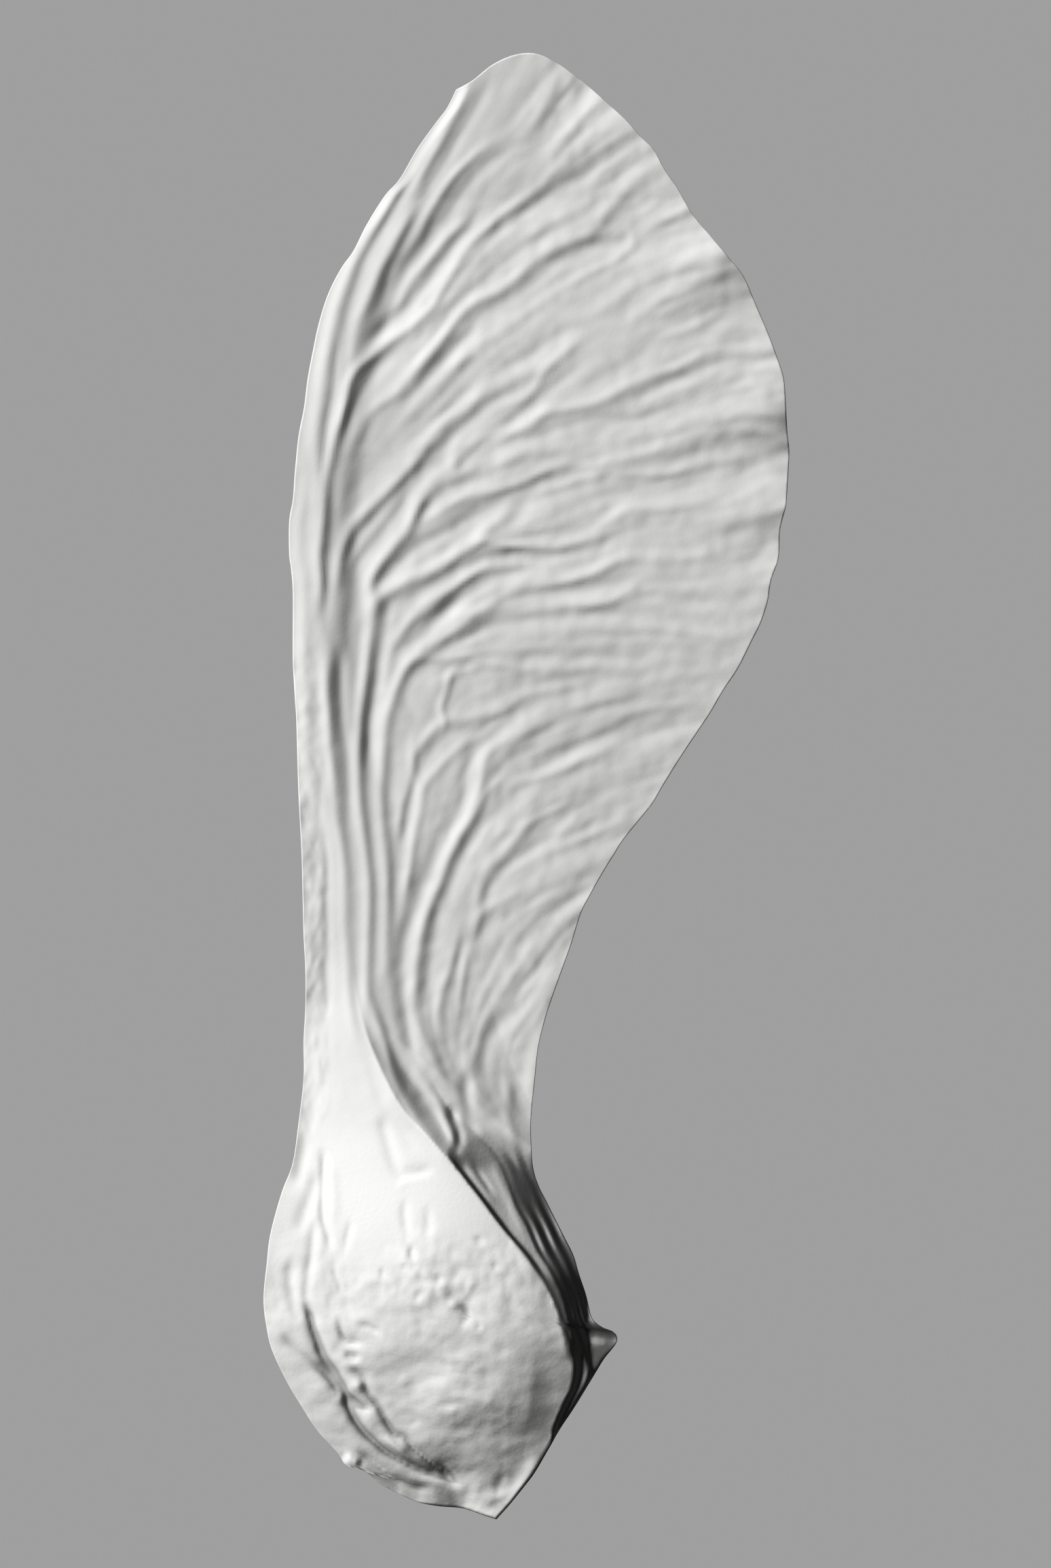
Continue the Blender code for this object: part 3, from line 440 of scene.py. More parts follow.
FURROWS = [
    (SOFT, SOFT, 0.2, [(-3.2, -9.8), (-3.6, -9.2), (-3.9, -8.6), (-4.15, -7.9), (-4.35, -7.1),
        (-4.55, -6.2), (-4.65, -5), (-4.7, -3.6), (-4.8, -2), (-4.88, -0.8)]),
    (PLAIN, STRONG, 0.18, [(-4.86, -0.6), (-4.92, 0.5), (-5.02, 1.5), (-5.08, 2.4), (-5.12, 3.2)]),
    (SOFT, SOFT, 0.18, [(-4.86, 3.8), (-4.76, 5), (-4.65, 5.8), (-4.5, 6.3)]),
    (SOFT, PLAIN, 0.12, [(-5.55, 8.8), (-5.45, 9.5), (-5.37, 10.2), (-5.25, 11), (-5.15, 11.8)]),
    (FAINT, PLAIN, 0.12, [(-5.8, 2), (-5.68, 0), (-5.5, -2), (-5.4, -4), (-5.43, -6)]),
    (PLAIN, CLEAR, 0.18, [(-3.75, 5), (-3.8, 4.4), (-3.95, 3.6), (-4.08, 2.7), (-4.22, 1.8),
        (-4.3, 1.1)]),
    (FAINT, FAINT, 0.18, [(-4.33, 0.7), (-4.35, -0.6), (-4.27, -2.2), (-4.2, -3.4), (-4.12, -4.6),
        (-4.05, -5.6)]),
    (SOFT, CLEAR, 0.18, [(-5.5, 4.6), (-5.42, 5.6), (-5.38, 6.6), (-5.3, 7.4), (-5.2, 8.3),
        (-5.05, 9), (-4.88, 9.7), (-4.68, 10.3), (-4.4, 10.9), (-4.1, 11.3), (-3.65, 11.8)]),
    (FAINT, CLEAR, 0.18, [(-4.95, 11), (-4.92, 12), (-4.85, 13), (-4.65, 13.8), (-4.35, 14.5),
        (-4.05, 15.1), (-3.7, 15.8), (-3.35, 16.3)]),
    (SOFT, PLAIN, 0.14, [(-3.95, 13.4), (-3.75, 14.1), (-3.5, 14.6), (-3.3, 15)]),
    (SOFT, PLAIN, 0.18, [(-2.85, 16), (-2.45, 16.7), (-2.05, 17.35), (-1.75, 17.9), (-1.5, 18.4),
        (-1.2, 18.95)]),
    (PLAIN, PLAIN, 0.18, [(-2.95, 14.5), (-2.45, 15.2), (-2.1, 15.6), (-1.78, 16.05), (-1.4, 16.5),
        (-0.95, 17), (-0.6, 17.3)]),
    (SOFT, SOFT, 0.18, [(-0.5, 18.1), (-0.1, 18.55), (0.2, 18.95)]),
    (PLAIN, SOFT, 0.18, [(0.5, 18), (0.9, 18.5), (1.3, 18.95)]),
    (STRONG, PLAIN, 0.22, [(-4.1, 12.2), (-3.65, 12.75), (-3.15, 13.25), (-2.75, 13.8),
        (-2.4, 14.3), (-2, 14.8), (-1.6, 15.2), (-1.2, 15.7)]),
    (SOFT, PLAIN, 0.22, [(-1, 14.8), (-0.4, 15.4), (0.2, 15.8), (0.8, 16.15), (1.3, 16.4),
        (1.75, 16.7)]),
    (SOFT, SOFT, 0.22, [(2.1, 16.3), (2.5, 16.6), (2.95, 16.95)]),
    (SOFT, CLEAR, 0.22, [(-2.3, 11.7), (-1.8, 12.2), (-1.3, 12.7), (-0.8, 13.05), (-0.2, 13.45),
        (0.3, 13.75), (0.8, 14.2), (1.4, 14.5), (1.9, 14.7), (2.4, 14.75)]),
    (SOFT, SOFT, 0.2, [(2, 15.1), (2.4, 15.4), (2.8, 15.7), (3.2, 15.9)]),
    (FAINT, PLAIN, 0.3, [(-4.9, 7.8), (-4.4, 8.4), (-3.8, 8.9), (-3.3, 9.3), (-2.7, 9.9),
        (-2.2, 10.3), (-1.65, 10.9)]),
    (SOFT, PLAIN, 0.16, [(-4.9, 6.3), (-4.65, 6.8), (-4.3, 7.2), (-4.05, 7.5)]),
    (PLAIN, SOFT, 0.18, [(-4.55, 6.2), (-4.2, 6.65), (-3.85, 7.1), (-3.55, 7.5), (-3.3, 8),
        (-2.9, 8.45), (-2.35, 8.8), (-2.1, 9.1)]),
    (CLEAR, SOFT, 0.16, [(-2.1, 9.4), (-1.75, 9.8), (-1.4, 10.1), (-0.95, 10.45), (-0.5, 10.7),
        (0, 10.95)]),
    (CLEAR, PLAIN, 0.2, [(-4.05, 5.4), (-3.7, 5.85), (-3.35, 6.25), (-2.9, 6.6), (-2.35, 6.9),
        (-1.75, 7.2), (-1.25, 7.5), (-0.8, 7.75)]),
    (PLAIN, SOFT, 0.16, [(-2.85, 7.4), (-2.6, 7.8), (-2.25, 8.1), (-1.8, 8.25), (-1.3, 8.4)]),
    (PLAIN, SOFT, 0.18, [(-3.1, 5.2), (-2.4, 5.65), (-1.8, 6), (-1.2, 6.2), (-0.5, 6.15),
        (0.2, 6.05), (0.9, 6.15), (1.5, 6.25), (2, 6.35), (2.25, 6.7)]),
    (PLAIN, SOFT, 0.16, [(-2.2, 4.85), (-1.8, 5.1), (-1.35, 5.35), (-0.9, 5.55), (-0.3, 5.7)]),
    (PLAIN, PLAIN, 0.18, [(-3.35, 3.7), (-2.8, 4.05), (-2.45, 4.45), (-2.1, 4.8)]),
    (PLAIN, FAINT, 0.18, [(-2.4, 3.75), (-1.8, 4), (-1.35, 4.3), (-0.8, 4.55), (-0.2, 4.6)]),
    (CLEAR, SOFT, 0.25, [(-2.95, 3), (-2.5, 3.2), (-1.9, 3.15)]),
    (PLAIN, FAINT, 0.16, [(-2.9, 0.45), (-2.65, 0.85), (-2.3, 1.2), (-1.9, 1.4), (-1.4, 1.5)]),
    (SOFT, SOFT, 0.2, [(-3.72, 1), (-3.66, 0.3), (-3.72, -0.4), (-3.75, -1.1), (-3.68, -1.8),
        (-3.63, -2.4), (-3.62, -3), (-3.6, -3.7)]),
    (SOFT, SOFT, 0.14, [(-3, 0.9), (-3.08, 0.3), (-3.2, -0.4), (-3.3, -1.1), (-3.45, -1.6)]),
    (STRONG, FAINT, 0.22, [(-3.1, -7.3), (-3.25, -6.6), (-3.38, -5.8), (-3.42, -5), (-3.35, -4.3),
        (-3.15, -3.6), (-2.9, -2.8), (-2.6, -2), (-2.35, -1.5), (-2, -0.8), (-1.75, -0.2),
        (-1.6, 0.5), (-1.4, 1), (-1, 1.35), (-0.5, 1.7), (0, 2), (0.5, 2.2), (1, 2.4)]),
    (PLAIN, PLAIN, 0.24, [(-2.75, -6.1), (-2.7, -5.4), (-2.6, -4.6), (-2.45, -3.8), (-2.25, -3),
        (-1.95, -2.3), (-1.6, -1.7), (-1.2, -1.1), (-0.8, -0.6), (-0.3, -0.2)]),
    (SOFT, SOFT, 0.16, [(-2.15, -6.7), (-2.1, -6), (-2, -5.2), (-1.85, -4.5)]),
    (PLAIN, SOFT, 0.22, [(-1.75, -7.2), (-1.6, -6.5), (-1.45, -5.8), (-1.15, -5.2), (-0.8, -4.7)]),
    (FAINT, CLEAR, 0.2, [(-1.3, -7.6), (-1.2, -7.1), (-0.95, -6.65), (-0.65, -6.3), (-0.3, -6.05)]),
    (PLAIN, SOFT, 0.18, [(-0.1, -5.4), (0.25, -5.05), (0.55, -4.7)]),
    (SOFT, CLEAR, 0.2, [(-1.15, -3.1), (-0.9, -2.6), (-0.5, -2.15), (0, -1.75), (0.4, -1.5)]),
    (PLAIN, SOFT, 0.2, [(-1.2, -4), (-0.95, -3.7), (-0.6, -3.5)]),
    (SOFT, CLEAR, 0.18, [(-3.95, -6.3), (-3.65, -7), (-3.35, -7.6), (-3.05, -8.2), (-2.75, -8.7),
        (-2.45, -9.2), (-2.1, -9.7)]),
    (PLAIN, PLAIN, 0.2, [(-2.25, -6.9), (-2.1, -7.5), (-1.85, -8.1), (-1.55, -8.65), (-1.2, -9.2),
        (-0.85, -9.7)]),
    (SOFT, FAINT, 0.25, [(0, 0.75), (0.6, 0.85), (1.2, 1.1), (1.8, 1.35), (2.3, 1.6)]),
    (FAINT, FAINT, 0.2, [(1.2, 0.4), (1.7, 0.55)]),
    (SOFT, FAINT, 0.25, [(0, 2.8), (0.7, 2.85), (1.4, 3), (2.3, 3.05)]),
    (SOFT, SOFT, 0.16, [(0.2, 3.5), (1, 3.5), (1.7, 3.55), (2.4, 3.5)]),
    (SOFT, SOFT, 0.22, [(0, 4.5), (0.9, 4.6), (1.7, 4.65)]),
    (SOFT, FAINT, 0.16, [(2.1, 4.65), (2.9, 4.6), (3.7, 4.6)]),
    (SOFT, PLAIN, 0.16, [(0.9, 5.25), (1.6, 5.3), (2.3, 5.5)]),
    (SOFT, SOFT, 0.14, [(2.7, 5.2), (3.3, 5.2)]),
    (SOFT, SOFT, 0.16, [(4.2, 5), (4.9, 5)]),
    (SOFT, SOFT, 0.3, [(4.4, 3.8), (4.9, 3.6)]),
    (FAINT, FAINT, 0.2, [(1.2, 1.75), (1.8, 1.9)]),
    (PLAIN, PLAIN, 0.18, [(-0.4, 9.3), (0.3, 9.5), (0.9, 9.75), (1.6, 9.9), (2.3, 9.95), (3, 9.95),
        (3.7, 10.2)]),
    (CLEAR, SOFT, 0.16, [(-1, 9.7), (-0.5, 9.95), (0, 10.3), (0.4, 10.65), (0.7, 10.9),
        (1.2, 11.3)]),
    (PLAIN, PLAIN, 0.2, [(-0.5, 11.35), (0, 11.7), (0.45, 12), (0.9, 12.3)]),
    (SOFT, SOFT, 0.2, [(1.7, 10.9), (2.2, 11.2), (2.7, 11.5), (3.1, 11.8), (3.3, 12.1)]),
    (PLAIN, PLAIN, 0.18, [(2.9, 10.55), (3.4, 10.75), (3.9, 10.95), (4.5, 11.1)]),
    (SOFT, SOFT, 0.16, [(0.8, 8.1), (1.4, 8.3)]),
    (SOFT, SOFT, 0.16, [(2.2, 8.5), (2.9, 8.75), (3.5, 8.9), (4.2, 8.95), (4.8, 9.3)]),
    (PLAIN, SOFT, 0.16, [(2.2, 7.9), (2.9, 8.05), (3.5, 8.2), (4.1, 8.3)]),
    (PLAIN, FAINT, 0.16, [(2.7, 6.4), (3.2, 6.5), (3.7, 6.5)]),
    (SOFT, SOFT, 0.18, [(4.2, 6.45), (4.5, 6.45)]),
    (SOFT, SOFT, 0.25, [(5.4, 6.75), (5.8, 6.85)]),
    (PLAIN, PLAIN, 0.25, [(5.9, 9.2), (6.4, 9.35)]),
    (PLAIN, PLAIN, 0.22, [(5.8, 8.4), (6.2, 8.6)]),
    (FAINT, FAINT, 0.2, [(3.3, 13.7), (3.8, 13.85), (4.2, 14)]),
    (SOFT, PLAIN, 0.2, [(3.4, 12.65), (3.9, 12.7), (4.4, 12.95)]),
    (SOFT, SOFT, 0.25, [(4.2, 14.8), (4.7, 14.95)]),
    (PLAIN, PLAIN, 0.2, [(5, 12.75), (5.4, 12.95)]),
    (PLAIN, PLAIN, 0.25, [(5.7, 12.15), (6.1, 12.1)]),
    (SOFT, SOFT, 0.2, [(1.7, 13.3), (2.2, 13.6), (2.7, 13.9)]),
    (SOFT, SOFT, 0.2, [(2.5, 13), (2.9, 13.15)]),
]

# The nutlet's folds, marks and pits, as the wing's lines; a hollow has a negative height
NUTLET_LINES = [
    (-0.05, -0.05, 0.6, [(-5.95, -5.5), (-5.95, -7.5), (-6.05, -9.5), (-6.5, -11.2)]),
    (-0.06, -0.06, 0.12, [(-5.55, -9.8), (-5.53, -10.3), (-5.58, -10.9), (-5.62, -11.5),
        (-5.58, -11.9), (-5.45, -12.3), (-5.38, -12.8)]),
    (-0.06, -0.06, 0.2, [(-5.75, -10.4), (-5.88, -11), (-6.1, -11.6), (-6.28, -12.3)]),
    (0.02, 0.02, 0.16, [(-5.35, -10.2), (-5.3, -11.2), (-5.3, -12)]),
    (-0.05, -0.06, 0.14, [(-5.84, -11.7), (-5.9, -12.4), (-5.95, -12.9), (-6, -13.5),
        (-6.03, -13.9), (-5.95, -14.3)]),
    (-0.04, -0.04, 0.09, [(-5.35, -12.9), (-5.2, -13.3), (-5.06, -13.6), (-4.97, -13.95)]),
    (-0.035, -0.035, 0.12, [(-4.77, -11.7), (-4.9, -12.3), (-5.02, -12.95)]),
    (-0.05, -0.05, 0.18, [(-6.02, -9.3), (-6.1, -9.9), (-6.25, -10.4), (-6.37, -11)]),
    (-0.08, -0.08, 0.16, [(-6.5, -12.7), (-6.45, -13.6), (-6.35, -14.2), (-6.1, -14.6)]),
    (0.02, 0.02, 0.1, [(-3.58, -11.1), (-3.42, -10.82), (-3.05, -10.74), (-2.5, -10.68)]),
    (-0.05, -0.04, 0.17, [(-4, -8.9), (-3.82, -9.8), (-3.65, -10.4), (-3.4, -10.63),
        (-2.85, -10.58), (-2.5, -10.35)]),
    (-0.035, -0.035, 0.12, [(-3.36, -11.1), (-3.36, -11.7), (-3.2, -12.3)]),
    (-0.03, -0.03, 0.14, [(-2.75, -11.3), (-2.7, -11.9), (-2.75, -12.4)]),
    (-0.07, -0.07, 0.1, [(-3.1, -12.5), (-3.15, -12.75), (-3, -12.95)]),
    (-0.05, -0.05, 0.06, [(-3.48, -13.17), (-3.2, -13.18)]),
    (-0.035, -0.035, 0.07, [(-3.2, -13.25), (-3, -13.35), (-2.85, -13.48), (-2.4, -13.65)]),
    (-0.04, -0.04, 0.07, [(-3.95, -13.12), (-3.9, -13.42)]),
    (-0.06, -0.06, 0.11, [(-2.47, -13.3), (-2.36, -13.6)]),
    (-0.05, -0.05, 0.09, [(-3.07, -14.08), (-2.95, -13.85), (-2.7, -13.74)]),
    (-0.05, -0.07, 0.08, [(-1.95, -13.95), (-1.73, -14.2), (-1.7, -14.4), (-1.88, -14.7)]),
    (0.05, 0.05, 0.12, [(-2.1, -13.95), (-2, -14.25)]),
    (-0.03, -0.03, 0.1, [(-1.45, -14.65), (-1.25, -14.72)]),
    (0.02, 0.02, 0.12, [(-5, -15.3), (-4.75, -15.38)]),
    (0.03, 0.03, 0.12, [(-4.7, -16.15), (-4.5, -16.55)]),
    (0.02, 0.02, 0.14, [(-4.5, -17.15), (-4.1, -17.5)]),
    (0.08, 0.08, 0.12, [(-4.15, -17.83), (-3.8, -17.83), (-3.45, -18.1), (-3.05, -18.35)]),
    (0.12, 0.12, 0.14, [(-5.05, -18.28), (-4.8, -18.4), (-4.5, -18.52)]),
    (0.06, 0.06, 0.25, [(-1.7, -19.2), (-1.3, -19.45), (-1.05, -19.7)]),
    (-0.05, -0.05, 0.26, [(-0.32, -13.7), (-0.4, -14.3), (-0.42, -14.8)]),
    (-0.04, -0.04, 0.13, [(-0.9, -12.9), (-0.88, -13.2)]),
    (-0.04, -0.04, 0.13, [(-1.3, -12.2), (-1.32, -12.5)]),
    (-0.025, -0.025, 0.2, [(-0.6, -15.1), (-0.85, -15.6)]),
    (0.01, 0.02, 0.16, [(0.12, -15.2), (0.15, -16), (0.13, -16.8), (0.05, -17.5)]),
    (0.12, 0.12, 0.24, [(0.48, -18.15), (0.18, -18.65), (-0.08, -19.05), (-0.38, -19.5),
        (-0.7, -19.85)]),
    (-0.03, -0.05, 0.16, [(-0.5, -18.55), (-0.75, -18.95), (-0.88, -19.3)]),
]
# Its sharp creases, in the same way
CREASES = [
    (-0.12, -0.12, 0.1, [(-5.12, -14.35), (-5.05, -14.8), (-4.92, -15.08), (-4.7, -15.17),
        (-4.35, -15.25)]),
    (-0.09, -0.09, 0.08, [(-4.67, -14.62), (-4.4, -14.7), (-4.15, -14.85), (-3.93, -14.96)]),
    (-0.1, -0.1, 0.09, [(-5, -15.35), (-4.82, -15.56), (-4.53, -15.54)]),
    (-0.12, -0.18, 0.13, [(-5.05, -15.8), (-4.7, -15.95), (-4.47, -16.2), (-4.32, -16.55),
        (-4.05, -16.92), (-3.82, -17.3), (-3.6, -17.6), (-3.3, -17.75), (-3.1, -18), (-2.87, -18.2),
        (-2.6, -18.45), (-2.35, -18.6), (-1.95, -18.95)]),
    (-0.2, -0.2, 0.15, [(-6.1, -13.95), (-5.93, -14.4), (-5.83, -14.75), (-5.7, -15.1),
        (-5.58, -15.45), (-5.35, -15.8), (-5.1, -16.15), (-4.95, -16.4), (-4.85, -16.8),
        (-4.7, -17.2), (-4.52, -17.5), (-4.3, -17.75), (-4.05, -17.98), (-3.8, -18.18),
        (-3.4, -18.4), (-3, -18.58), (-2.65, -18.7), (-2.2, -18.85), (-1.75, -19.1)]),
    (-0.08, -0.2, 0.17, [(-6.75, -14.8), (-6.4, -15.25), (-5.95, -15.6), (-5.55, -15.9),
        (-5.25, -16.25), (-5.05, -16.7)]),
    (-0.16, -0.16, 0.12, [(-4.9, -16.45), (-4.62, -16.78), (-4.35, -16.95), (-4.12, -16.93)]),
    (-0.1, -0.1, 0.14, [(-4.7, -18.1), (-4.2, -18.48), (-3.8, -18.8), (-3.4, -19), (-3, -19.12),
        (-2.5, -19.18)]),
]
# The folds of the side face, in the same way
FACE_LINES = [
    (-0.08, -0.08, 0.14, [(-2.15, -8.6), (-2, -9.1), (-1.87, -9.5), (-1.9, -9.85),
        (-2.08, -10.15)]),
    (-0.05, -0.05, 0.08, [(-1.55, -10.3), (-1.2, -10.75), (-0.85, -11.25)]),
    (0.03, 0.03, 0.14, [(-1.75, -9.9), (-1.5, -10.5), (-1.1, -11.1), (-0.85, -11.6)]),
    (0.03, 0.03, 0.12, [(-1, -10.2), (-0.65, -10.9), (-0.3, -11.7), (0.05, -12.4)]),
    (0.06, 0.06, 0.09, [(1.75, -14.88), (2.05, -15.03), (2.35, -15.1)]),
    (-0.05, -0.05, 0.2, [(-1.55, -7.6), (-1.65, -8.4), (-1.55, -9.1), (-1.3, -9.6)]),
    (0.03, 0.03, 0.18, [(-0.5, -7.9), (-0.55, -8.7), (-0.45, -9.4), (-0.2, -10)]),
]


def ease(t):
    """A smooth step from 0 to 1."""
    t = np.clip(t, 0, 1)
    return t * t * (3 - 2 * t)


def zone(value, start, width):
    """A smooth step from 0 at its start to 1 once its width is passed."""
    return ease((value - start) / width)


def blend(low, high, share):
    """A value between two others, at a share of the way from the first to the second."""
    return low + (high - low) * share


def smooth_path(points, steps=12):
    """Points along a Catmull-Rom curve through the given points."""
    p = np.array(points, float)
    p = np.vstack([2 * p[0] - p[1], p, 2 * p[-1] - p[-2]])
    t = np.linspace(0, 1, steps, endpoint=False)[:, None]
    pieces = []
    for a, b, c, d in zip(p, p[1:], p[2:], p[3:]):
        pieces.append(0.5 * (2 * b + (c - a) * t + (2 * a - 5 * b + 4 * c - d) * t ** 2
                             + (3 * b - a - 3 * c + d) * t ** 3))
    return np.vstack(pieces + [p[-2:-1]])


def lengths_along(path):
    """Length of a path up to each of its points."""
    return np.concatenate([[0], np.cumsum(np.hypot(*np.diff(path, axis=0).T))])


def spread(path, shares):
    """Places on a path at shares of its length."""
    length = lengths_along(path)
    return np.stack([np.interp(shares * length[-1], length, path[:, k]) for k in (0, 1)], axis=-1)


def across_at(points, y):
    """The first value of a smooth curve where it passes height y in the plan."""
    path = smooth_path(points)
    order = np.argsort(path[:, 1])
    return np.interp(y, path[order, 1], path[order, 0])


def rows_by_height(points, rows):
    """Places on an edge whose heights in the plan grow evenly from its foot to its top."""
    path = smooth_path(points)
    heights = path[0, 1] + rows * (path[-1, 1] - path[0, 1])
    return np.stack([np.interp(heights, path[:, 1], path[:, 0]), heights], axis=-1)


def plan_grid(u, v):
    """Plan places of a grid, blended between the four edges (u across, v from base to tip)."""
    lead = rows_by_height(LEADING_EDGE, v[:, 0])[:, None]
    trail = rows_by_height(TRAILING_EDGE, v[:, 0])[:, None]
    base = spread(smooth_path(BASE_EDGE), u[0])[None]
    tip = spread(smooth_path(TIP_EDGE), u[0])[None]
    u = u[..., None]
    v = v[..., None]
    sides = blend(lead, trail, u)
    ends = blend(base, tip, v)
    corners = blend(blend(base[:, :1], base[:, -1:], u), blend(tip[:, :1], tip[:, -1:], u), v)
    return sides + ends - corners


def crowded(count):
    """Shares from 0 to 1 whose outer steps are short, for a rounded rim."""
    steps = np.array(RIM_STEPS)
    whole = count - 2 * len(steps)
    inner = np.arange(1, whole)
    return np.concatenate([[0], steps, inner, whole - steps[::-1], [whole]]) / whole


def outline_path():
    """The whole outline as one closed path."""
    edges = [smooth_path(edge, 3) for edge in (LEADING_EDGE, TIP_EDGE, TRAILING_EDGE, BASE_EDGE)]
    return np.vstack([edges[0], edges[1][1:], edges[2][::-1][1:], edges[3][::-1][1:]])


def distance_to_path(x, y, path):
    """Distance from each place to a path, and the share of its length where it is nearest."""
    length = lengths_along(path)
    nearest = np.full(x.shape, np.inf)
    share = np.zeros(x.shape)
    for k, (a, b) in enumerate(zip(path, path[1:])):
        run = b - a
        square = max(run @ run, 1e-12)
        t = np.clip(((x - a[0]) * run[0] + (y - a[1]) * run[1]) / square, 0, 1)
        d = np.hypot(x - a[0] - t * run[0], y - a[1] - t * run[1])
        closer = d < nearest
        nearest = np.where(closer, d, nearest)
        share = np.where(closer, blend(length[k], length[k + 1], t) / length[-1], share)
    return nearest, share


def spline_weights(f):
    """Weights of the four lattice points round a place, for a smooth curve between them."""
    return ((1 - f) ** 3 / 6, (3 * f ** 3 - 6 * f ** 2 + 4) / 6,
            (1 + 3 * f + 3 * f ** 2 - 3 * f ** 3) / 6, f ** 3 / 6)


def noise(x, y, pitch, seed):
    """Smooth random heights, about 1 high, that change over the given pitch."""
    columns, rows = (int(span / pitch) + 4 for span in NOISE_SPANS)
    lattice = np.random.default_rng(seed).normal(size=(rows, columns))
    across = (x - NOISE_CORNER[0]) / pitch
    along = (y - NOISE_CORNER[1]) / pitch
    column = np.clip(across.astype(int), 1, columns - 3)
    row = np.clip(along.astype(int), 1, rows - 3)
    column_weights = spline_weights(np.clip(across - column, 0, 1))
    row_weights = spline_weights(np.clip(along - row, 0, 1))
    total = np.zeros(x.shape)
    for j, row_weight in enumerate(row_weights):
        for i, column_weight in enumerate(column_weights):
            total += row_weight * column_weight * lattice[row + j - 1, column + i - 1]
    return NOISE_GAIN * total


def wrinkle_noise(x, y, seed, kinds=WRINKLES):
    """Noise of several pitches, each with its share of the height."""
    return sum(share * noise(x, y, pitch, seed + k) for k, (share, pitch) in enumerate(kinds))


class Plan:
    """The mesh's places in the plan, their share of the way across, and where on the samara they lie."""

    def __init__(self, u, v):
        places = plan_grid(u, v)
        self.u = u
        self.x = places[..., 0]
        self.y = places[..., 1]
        self.lead_gap = self.x - across_at(LEADING_EDGE, self.y)
        self.crest_gap = self.x - across_at(CREST, self.y)
        self.on_nutlet = zone(self.y, *NUTLET_ZONE)
        self.near_neck = zone(self.y, *NECK_ZONE)
        self.off_strip = zone(self.lead_gap, *OFF_STRIP)
        self.near_rim = np.ones(self.x.shape, bool)
        self.near_rim[RIM_CELLS:-RIM_CELLS, RIM_CELLS:-RIM_CELLS] = False

    def uneven(self, share, pitch, seed):
        """Smooth random heights of the given share."""
        return share * noise(self.x, self.y, pitch, seed)


class VeinFlow:
    """The way the veins run at each place, averaged from the wing's lines."""

    PITCH = 0.3
    LOW = (-8.0, -12.0)
    HIGH = (8.5, 20.6)
    SOFTNESS = 0.12
    FALL_OFF = 1.5
    TURNING = 0.4

    def __init__(self):
        paths = [smooth_path(line[-1], 2) for line in VEINS + FURROWS]
        edge = smooth_path(LEADING_EDGE, 1)
        paths.append(edge[edge[:, 1] > NECK_Y])
        at = np.vstack([(path[1:] + path[:-1]) / 2 for path in paths])
        run = np.vstack([path[1:] - path[:-1] for path in paths])
        turn = 2 * np.arctan2(run[:, 1], run[:, 0])
        x, y = np.meshgrid(*(np.arange(low, high, self.PITCH) for low, high in zip(self.LOW, self.HIGH)))
        square = (x[..., None] - at[:, 0]) ** 2 + (y[..., None] - at[:, 1]) ** 2
        weight = np.hypot(*run.T) / (square + self.SOFTNESS) ** self.FALL_OFF
        self.lattice = np.stack([(weight * np.cos(turn)).sum(-1), (weight * np.sin(turn)).sum(-1)])
        self.lattice /= np.hypot(*self.lattice)

    def ways(self, x, y):
        """Unit steps along the veins, from the nutlet outwards."""
        rows, columns = self.lattice.shape[1:]
        across = np.clip((x - self.LOW[0]) / self.PITCH, 0, columns - 1.001)
        along = np.clip((y - self.LOW[1]) / self.PITCH, 0, rows - 1.001)
        i, j = across.astype(int), along.astype(int)
        f, g = across - i, along - j
        low = blend(self.lattice[:, j, i], self.lattice[:, j, i + 1], f)
        high = blend(self.lattice[:, j + 1, i], self.lattice[:, j + 1, i + 1], f)
        cosine, sine = blend(low, high, g)
        angle = np.arctan2(sine, cosine) / 2
        angle = np.where(angle < -np.pi / 4, angle + np.pi, angle)
        return np.stack([np.cos(angle), np.sin(angle)])

    def drawn_on(self, path, reach, steps=5):
        """A path that flows on along the veins past both of its ends."""
        ends = []
        for place, run in ((path[0], path[0] - path[1]), (path[-1], path[-1] - path[-2])):
            more = []
            for _ in range(steps):
                run = run / np.hypot(*run)
                way = self.ways(*place)
                run = blend(run, way * np.sign(way @ run), self.TURNING)
                place = place + reach / steps * run / np.hypot(*run)
                more.append(place)
            ends.append(np.array(more))
        return np.vstack([ends[0][::-1], path, ends[1]])

    def streaks(self, x, y, pitch, reach, steps, seed):
        """Noise drawn out along the veins, about 1 high."""
        total = noise(x, y, pitch, seed)
        for way in (-reach / steps, reach / steps):
            place = np.stack([x, y])
            for _ in range(steps):
                place = place + way * self.ways(*place)
                total = total + noise(*place, pitch, seed)
        return total / total.std()


def line_relief(x, y, lines, flow=None, power=LINE_POWER):
    """Heights of lines that fade out at their ends and are drawn on along a flow, if there is one."""
    total = np.zeros(x.shape)
    for start, end, width, points in lines:
        path = smooth_path(points, 3)
        taper = min(FREE_TAPER / lengths_along(path)[-1], FREE_FADE_SHARE)
        if flow:
            path = flow.drawn_on(path, LINE_OVERRUN)
            taper = min((LINE_OVERRUN + LINE_TAPER) / lengths_along(path)[-1], DRAWN_ON_FADE_SHARE)
        reach = LINE_REACH * width
        near = ((x > path[:, 0].min() - reach) & (x < path[:, 0].max() + reach)
                & (y > path[:, 1].min() - reach) & (y < path[:, 1].max() + reach))
        distance, share = distance_to_path(x[near], y[near], path)
        fade = ease(share / taper) * ease((1 - share) / taper)
        total[near] += blend(start, end, share) * fade * np.exp(-(distance / width) ** power)
    return total


